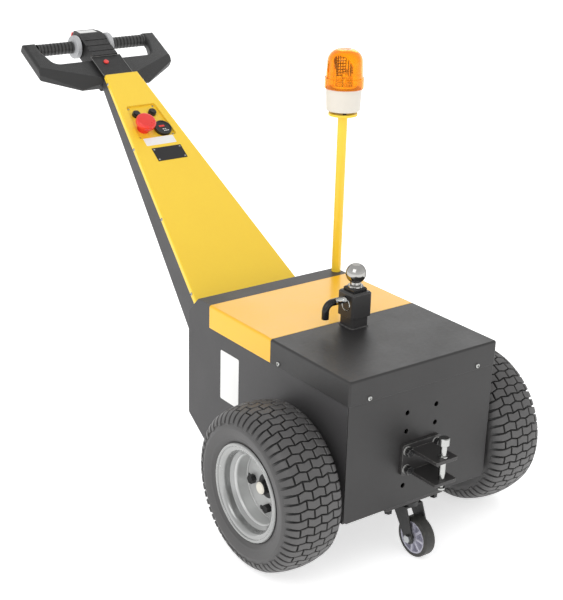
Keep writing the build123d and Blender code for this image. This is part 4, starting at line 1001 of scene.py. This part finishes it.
@dataclass
class ColumnTrim:
    """Screws, rivets, label and plate on the handle column, and the face of the gauge."""

    slope: Slope = field(default_factory=lambda: Slope(tilt=35.5))
    half: float = 0.055
    flare: float = 0.138
    screw_from: float = 0.031
    screw_pitch: float = 0.254
    screw_drop: float = 0.0075
    plate: tuple[float, float, float, float] = (-0.044, 0.054, 0.296, 0.345)
    label: tuple[float, float, float, float] = (-0.053, 0.047, 0.257, 0.285)
    plate_thick: float = 0.0009
    label_thick: float = 0.0004
    flange_head: tuple[float, float] = (0.0046, 0.0024)
    pan_head: tuple[float, float] = (0.0032, 0.0016)
    pan_drop: float = 0.007
    pan_spots: tuple[tuple[float, float], ...] = ((-0.041, 0.136), (0.041, 0.136), (-0.056, 0.249), (0.056, 0.249))
    rivet_in: float = 0.006
    rivet_head: tuple[float, float] = (0.0028, 0.0013)
    rivet_foot: float = 0.0008
    gauge: tuple[float, float] = (0.030, 0.226)
    mark_off: float = 0.001
    mark_thick: tuple[float, float] = (0.0006, 0.0002)
    bar: tuple[float, float, float] = (0.009, 0.0032, 0.001)
    bar_at: tuple[float, float] = (-0.002, 0.006)
    tick: tuple[float, float, float] = (0.0024, 0.0012, 0.0005)
    tick_down: float = 0.006
    tick_spots: tuple[tuple[float, float], ...] = ((-0.002, 0.0), (0.005, 0.0), (0.0, 0.006), (0.006, 0.006),
                                                   (0.012, 0.006))

    def sheet(self, box: tuple[float, float, float, float], thick: float, corner: float) -> Skin:
        """A thin rounded sheet on the lid.

        Args:
            box: left, right, upper and lower edge.
            thick: thickness.
            corner: corner radius.

        Returns:
            The surface.
        """
        left, right, upper, lower = box
        place = self.slope.at(-(upper + lower) / 2, (left + right) / 2)
        return slab(rounded((right - left) / 2, (lower - upper) / 2, corner), thick, thick / 3, place)

    def build(self) -> None:
        """Makes the flange screws, the pan screws, the label, the riveted plate and the gauge's marks."""
        skins = []
        for a in self.screw_from + self.screw_pitch * np.arange(4):
            spot = self.slope.at(-a, 0.0, -self.screw_drop)
            for side in (-1.0, 1.0):
                x = side * (self.half + self.flare * a)
                out = Place((x, *spot.origin[1:]), spot.y, tuple(side * np.asarray(spot.z)), (side, 0, 0))
                skins.append(screw(out, *self.flange_head, 18))
        piece("flange_screws", Skin.join(*skins), ZINC)
        heads = [screw(self.slope.at(-a, x, -self.pan_drop), *self.pan_head, 18) for x, a in self.pan_spots]
        piece("pan_screws", Skin.join(*heads), ZINC)
        piece("lid_label", self.sheet(self.label, self.label_thick, 0.002), LABEL)
        piece("riveted_plate", self.sheet(self.plate, self.plate_thick, 0.001), PLATE)
        left, right, upper, lower = self.plate
        spots = [(x, a) for x in (left + self.rivet_in, right - self.rivet_in)
                 for a in (upper + self.rivet_in, lower - self.rivet_in)]
        rivets = [rivet(self.slope.at(-a, x, self.rivet_foot), *self.rivet_head) for x, a in spots]
        piece("plate_rivets", Skin.join(*rivets), ZINC)
        gx, ga = self.gauge
        spot = self.slope.at(-ga + self.bar_at[1], gx + self.bar_at[0], self.mark_off)
        piece("gauge_bar", slab(rounded(*self.bar), *self.mark_thick, spot), RED)
        ticks = [slab(rounded(*self.tick), *self.mark_thick,
                      self.slope.at(-ga - self.tick_down - dy, gx + dx, self.mark_off)) for dx, dy in self.tick_spots]
        piece("gauge_ticks", Skin.join(*ticks), LABEL)


@dataclass
class TillerTrim:
    """Light beads painted as glints on the console's edges, and the blank label of the tiller's console."""

    slope: Slope = field(default_factory=lambda: Slope(tilt=28.0))
    lamp_top: float = -0.014
    glint_r: float = 0.0007
    glint_x: float = 0.0497
    glint_run: tuple[float, float] = (0.012, 0.104)
    cross_glint: tuple[float, float] = (0.047, 0.1035)
    nose_at: tuple[float, float] = (0.231, -0.019)
    nose_fall: tuple[float, float] = (0.018, 0.042)
    nose_half: tuple[float, float, float] = (0.029, 0.014, 0.002)
    nose_thick: tuple[float, float] = (0.0004, 0.0001)

    def line(self, start: Point, end: Point) -> Skin:
        """A thin straight bead: (1 - s) start + s end, with a round section.

        Args:
            start: first point, as across, up the slope and off it.
            end: last point.

        Returns:
            The surface.
        """
        ends = np.array([self.slope.at(a, x, off).origin for x, a, off in (start, end)])
        share = np.linspace(0.0, 1.0, 8)[:, None]
        path = ends[0] * (1 - share) + ends[1] * share
        normal = np.cross(ends[1] - ends[0], self.slope.at(0.0).x)
        normal = np.asarray(self.slope.at(0.0).z) if np.linalg.norm(normal) < MERGE else normal
        return tube(path, self.glint_r, tuple(normal / np.linalg.norm(normal)), 8)

    def build(self) -> None:
        """Makes the light beads, painted glints beside and across the lamp panel, and the label on the nose."""
        low, high = self.glint_run
        glint_beads = [self.line((x, low, self.lamp_top), (x, high, self.lamp_top)) for x in (-self.glint_x, self.glint_x)]
        half, up_slope = self.cross_glint
        glint_beads.append(self.line((-half, up_slope, self.lamp_top), (half, up_slope, self.lamp_top)))
        piece("console_glint_beads", Skin.join(*glint_beads), GLINT_BEAD)
        nose = self.slope.at(self.nose_at[0], 0.0, self.nose_at[1])
        tip = np.arctan2(*self.nose_fall)
        up = np.asarray(nose.y) * cos(tip) - np.asarray(nose.z) * sin(tip)
        out = np.asarray(nose.z) * cos(tip) + np.asarray(nose.y) * sin(tip)
        place = Place(nose.origin, nose.x, tuple(up), tuple(out))
        piece("nose_label", slab(rounded(*self.nose_half), *self.nose_thick, place), LABEL)


@dataclass
class BallHitchTrim:
    """The latch of the receiver pin with its wire ring, and the weld of the receiver."""

    latch_x: float = -0.062
    tilt: float = 24.0
    pin_r: float = 0.009
    barrel_r: float = 0.007
    barrel_long: float = 0.034
    ring_r: float = 0.014
    wire_r: float = 0.0013
    neck_r: float = 0.0035
    weld_half: float = 0.0262
    weld_corner: float = 0.0075
    weld_lift: float = 0.0004
    weld_r: float = 0.0024
    ripple: tuple[float, float] = (0.0004, 2.4)

    def build(self) -> None:
        """Makes the turned latch across the pin, the wire ring beside it and the weld round the tube."""
        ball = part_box("tow_ball")
        axis_y, axis_z = (ball[0].y + ball[1].y) / 2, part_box("hitch_pin")[1].z - self.pin_r
        run, rise = cos(radians(self.tilt)), sin(radians(self.tilt))
        start = (self.latch_x, axis_y + self.pin_r * run, axis_z - self.pin_r * rise)
        place = Place(start, (1, 0, 0), (0, rise, run), (0, -run, rise))
        foot, end = 2 * self.pin_r, 2 * self.pin_r + self.barrel_long
        profile = [(0, 0), (self.neck_r, 0), (self.neck_r, foot), (0.0066, foot), (self.barrel_r, foot + 0.0006),
                   (self.barrel_r, foot + 0.008), (0.0063, foot + 0.0086), (0.0063, foot + 0.0098),
                   (self.barrel_r, foot + 0.0104), (self.barrel_r, end - 0.004), (0.0062, end - 0.0018),
                   (0.0045, end - 0.0004), (0, end)]
        barrel = turned(np.array(profile), place, sides=36)
        t = np.linspace(0.0, 2 * pi, 48, endpoint=False)
        out = self.pin_r + self.barrel_long - self.barrel_r
        path = np.stack([np.full_like(t, self.latch_x + self.barrel_r),
                         axis_y - out * run + self.ring_r * np.cos(t),
                         axis_z + out * rise - self.ring_r + self.ring_r * np.sin(t)], -1)
        ring = tube(path, self.wire_r, (1, 0, 0), 10, closed=True)
        piece("latch_and_ring", Skin.join(barrel, ring), ZINC, "chassis", ("pin_latch",))
        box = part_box("receiver_tube")
        outline = rounded(self.weld_half, self.weld_half, self.weld_corner, steps=7)
        centre_y = (box[0].y + box[1].y) / 2
        wobble = self.ripple[0] * np.sin(np.arange(len(outline)) * self.ripple[1])
        path = np.stack([outline[:, 0], centre_y + outline[:, 1], np.full(len(outline), TOP_Z + self.weld_lift)], -1)
        bead = tube(path + wobble[:, None] * np.array([0.0, 0.0, 1.0]), self.weld_r, (0, 0, 1), 10, closed=True)
        piece("receiver_weld", bead, BLACK_PART)


@dataclass
class BeaconLamp:
    """The reflector in the beacon: a foot, an arched half-round dish with dark ribs painted as the shade between its
    facets, and a bulb.
    """

    dish_r: float = 0.030
    dish_t: float = 0.002
    foot_r: float = 0.034
    foot_h: float = 0.008
    top: float = 0.080
    fall: float = 0.45
    bulb: tuple[float, float] = (0.009, 0.031)
    stem_r: float = 0.005
    foot_edge: float = 0.001
    rib_r: float = 0.0011
    rib_in: float = 0.0006
    rib_short: float = 0.002
    row_drop: float = 0.008
    rib_low: float = 0.026
    ribbed: tuple[float, float] = (-0.82, 0.5)
    columns: int = 9
    rows: int = 7

    def crest(self, share: Array) -> Array:
        """Height of the dish at a share of its half turn, -1 to 1: the top less fall times the share squared."""
        return self.top - (self.top - self.foot_h) * self.fall * np.asarray(share) ** 2

    def dish(self, share: Array, radius: Array, up: Array) -> Array:
        """Points of the dish: the mast's axis plus the radius turned by 90 degrees times (1 + share), and up.

        Args:
            share: share of the half turn, from -1 to 1.
            radius: distance from the axis.
            up: height over the lens's foot.

        Returns:
            The points.
        """
        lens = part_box("beacon_lens")
        x, y = ((lens[0][i] + lens[1][i]) / 2 for i in (0, 1))
        a = pi / 2 * (1 + np.asarray(share))
        return np.stack(np.broadcast_arrays(x + radius * np.cos(a), y + radius * np.sin(a), lens[0].z + up), -1)

    def build(self) -> None:
        """Makes the foot, bulb and dish as one silvered piece, and the dark ribs in the dish, painted shade between
        its facets, as another.
        """
        share = np.linspace(-1.0, 1.0, 48)[:, None]
        radius = self.dish_r - self.dish_t * np.array([0.0, 0.0, 1.0, 1.0])
        rise = np.array([0.0, 1.0, 1.0, 0.0])
        wall = self.dish(share, radius, self.foot_h + (self.crest(share) - self.foot_h) * rise)
        ends = [np.repeat(wall[i].mean(0)[None], 4, 0)[None] for i in (0, -1)]
        skins = [Skin.grid(np.concatenate([ends[0], wall, ends[1]]), wrap_v=True)]
        ball_r, ball_z = self.bulb
        a = np.linspace(-pi / 2 + 0.6, pi / 2, 12)
        ball = np.stack([ball_r * np.cos(a), ball_z + ball_r * np.sin(a)], -1)
        edge = self.foot_edge
        foot = [(0, 0), (self.foot_r, 0), (self.foot_r, self.foot_h - edge), (self.foot_r - edge, self.foot_h),
                (self.stem_r, self.foot_h), (self.stem_r, ball[0, 1])]
        axis = self.dish(np.array(0.0), np.array(0.0), np.array(0.0))
        skins.append(turned(np.concatenate([foot, ball]), Place(tuple(axis)), sides=36))
        piece("beacon_lamp", Skin.join(*skins), SILVERED, "chassis", ("beacon_reflector",))
        face = self.dish_r - self.dish_t - self.rib_in
        ribs = []
        for u in np.linspace(*self.ribbed, self.columns):
            tall = np.linspace(self.rib_low, self.crest(u) - self.rib_short, 6)
            path = self.dish(np.array(u), np.array(face), tall)
            turn = pi / 2 * (1 + u)
            ribs.append(tube(path, self.rib_r, (cos(turn), sin(turn), 0.0), 8))
        for up in np.linspace(self.rib_low, self.top - self.row_drop, self.rows):
            under = (self.top - up - self.rib_short) / (self.top - self.foot_h) / self.fall
            reach = min(self.ribbed[1], under ** 0.5)
            path = self.dish(np.linspace(max(self.ribbed[0], -reach), reach, 24), np.array(face), np.array(up))
            ribs.append(tube(path, self.rib_r, (0, 0, 1), 8))
        piece("reflector_shade_ribs", Skin.join(*ribs), RIB_SHADE)


@dataclass
class Studio:
    """Floor, soft lights and the camera of the photograph."""

    floor_half: float = 40.0
    camera_at: Point = (-1.94681, -2.80377, 1.71979)
    azimuth: float = -35.033
    elevation: float = 21.906
    roll: float = 0.871
    lens: float = 78.902
    sensor: float = 36.0
    shift: tuple[float, float] = (0.0680, 0.0343)
    far_clip: float = 200.0
    sky_heights: tuple[float, float] = (0.0, 0.7)
    sky_strengths: tuple[float, float] = (1.05, 0.75)

    def floor(self) -> None:
        """A wide pale floor, kept out of the object's own pieces."""
        u = np.linspace(-self.floor_half, self.floor_half, 9)
        x, y = np.meshgrid(u, u, indexing="ij")
        mesh = Skin.grid(np.stack([x, y, np.zeros_like(x)], -1)).mesh("studio_floor")
        obj = bpy.data.objects.new("studio_floor", mesh)
        bpy.context.scene.collection.objects.link(obj)
        mesh.materials.append(FLOOR.material())

    def light(self, name: str, at: Point, to: Point, size: float, power: float) -> None:
        """A square soft light.

        Args:
            name: the light's name.
            at: where it stands.
            to: the point it looks at.
            size: length of its side.
            power: watts.
        """
        lamp = bpy.data.lights.new(name, "AREA")
        lamp.size, lamp.energy = size, power
        obj = bpy.data.objects.new(name, lamp)
        aim = np.asarray(to, float) - np.asarray(at, float)
        obj.matrix_world = Matrix.Translation(at) @ self.facing(aim).to_4x4()
        bpy.context.scene.collection.objects.link(obj)

    @staticmethod
    def facing(aim: Array, roll: float = 0.0) -> Matrix:
        """Turn that makes local -Z look along a direction, with local Y as near to up as it can be.

        Args:
            aim: the direction.
            roll: angle about the aim.

        Returns:
            The turn, with right, up and back as its columns.
        """
        ahead = aim / np.linalg.norm(aim)
        right = np.cross(ahead, (0.0, 0.0, 1.0))
        right /= np.linalg.norm(right)
        up = np.cross(right, ahead)
        right, up = cos(roll) * right + sin(roll) * up, cos(roll) * up - sin(roll) * right
        return Matrix([[right[i], up[i], -ahead[i]] for i in range(3)])

    def camera(self) -> None:
        """The camera at the photograph's place, with the shift of its frame."""
        data = bpy.data.cameras.new("photo_camera")
        data.lens, data.sensor_width = self.lens, self.sensor
        data.shift_x, data.shift_y = self.shift
        data.clip_end = self.far_clip
        obj = bpy.data.objects.new("photo_camera", data)
        a, e = radians(self.azimuth), radians(self.elevation)
        aim = -np.array([sin(a) * cos(e), -cos(a) * cos(e), sin(e)])
        obj.matrix_world = Matrix.Translation(self.camera_at) @ self.facing(aim, radians(self.roll)).to_4x4()
        bpy.context.scene.collection.objects.link(obj)
        bpy.context.scene.camera = obj

    def sky(self) -> None:
        """White surrounding light, a little darker overhead."""
        world = bpy.data.worlds.new("soft_studio")
        world.use_nodes = True
        nodes, links = world.node_tree.nodes, world.node_tree.links
        height = nodes.new("ShaderNodeSeparateXYZ")
        links.new(nodes.new("ShaderNodeTexCoord").outputs["Generated"], height.inputs["Vector"])
        ramp = nodes.new("ShaderNodeMapRange")
        for key, value in zip(("From Min", "From Max", "To Min", "To Max"), self.sky_heights + self.sky_strengths):
            ramp.inputs[key].default_value = value
        links.new(height.outputs["Z"], ramp.inputs["Value"])
        links.new(ramp.outputs["Result"], nodes["Background"].inputs["Strength"])
        nodes["Background"].inputs["Color"].default_value = (1.0, 1.0, 1.0, 1.0)
        bpy.context.scene.world = world

    def build(self) -> None:
        """Makes the floor, the lights, the sky and the camera."""
        bpy.context.scene.view_settings.view_transform = "Standard"
        self.floor()
        self.sky()
        self.light("key_softbox", (-2.6, -1.6, 3.2), (0.0, -0.3, 0.4), size=2.4, power=30.0)
        self.light("back_softbox", (2.6, 2.2, 2.8), (0.0, -0.2, 0.5), size=2.2, power=18.0)
        self.camera()


def dress_nodes() -> None:
    """Gives every CAD node its finish."""
    for name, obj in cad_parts.items():
        finish = NODE_FINISH[name]
        obj.data.materials.clear()
        obj.data.materials.append(finish.material())
        log.info("%s takes %s", name, finish.name)


def main() -> None:
    """Builds the studio and every sub-assembly in order."""
    logging.basicConfig(level=logging.INFO, format="%(name)s: %(message)s")
    Studio().build()
    dress_nodes()
    for name, side in (("left", -1), ("right", 1)):
        DriveWheel(name, side).build()
    for part in (Bodywork(), ColumnTrim(), TillerTrim(), BallHitchTrim(), BeaconLamp()):
        part.build()


if __name__ == "__main__":
    main()
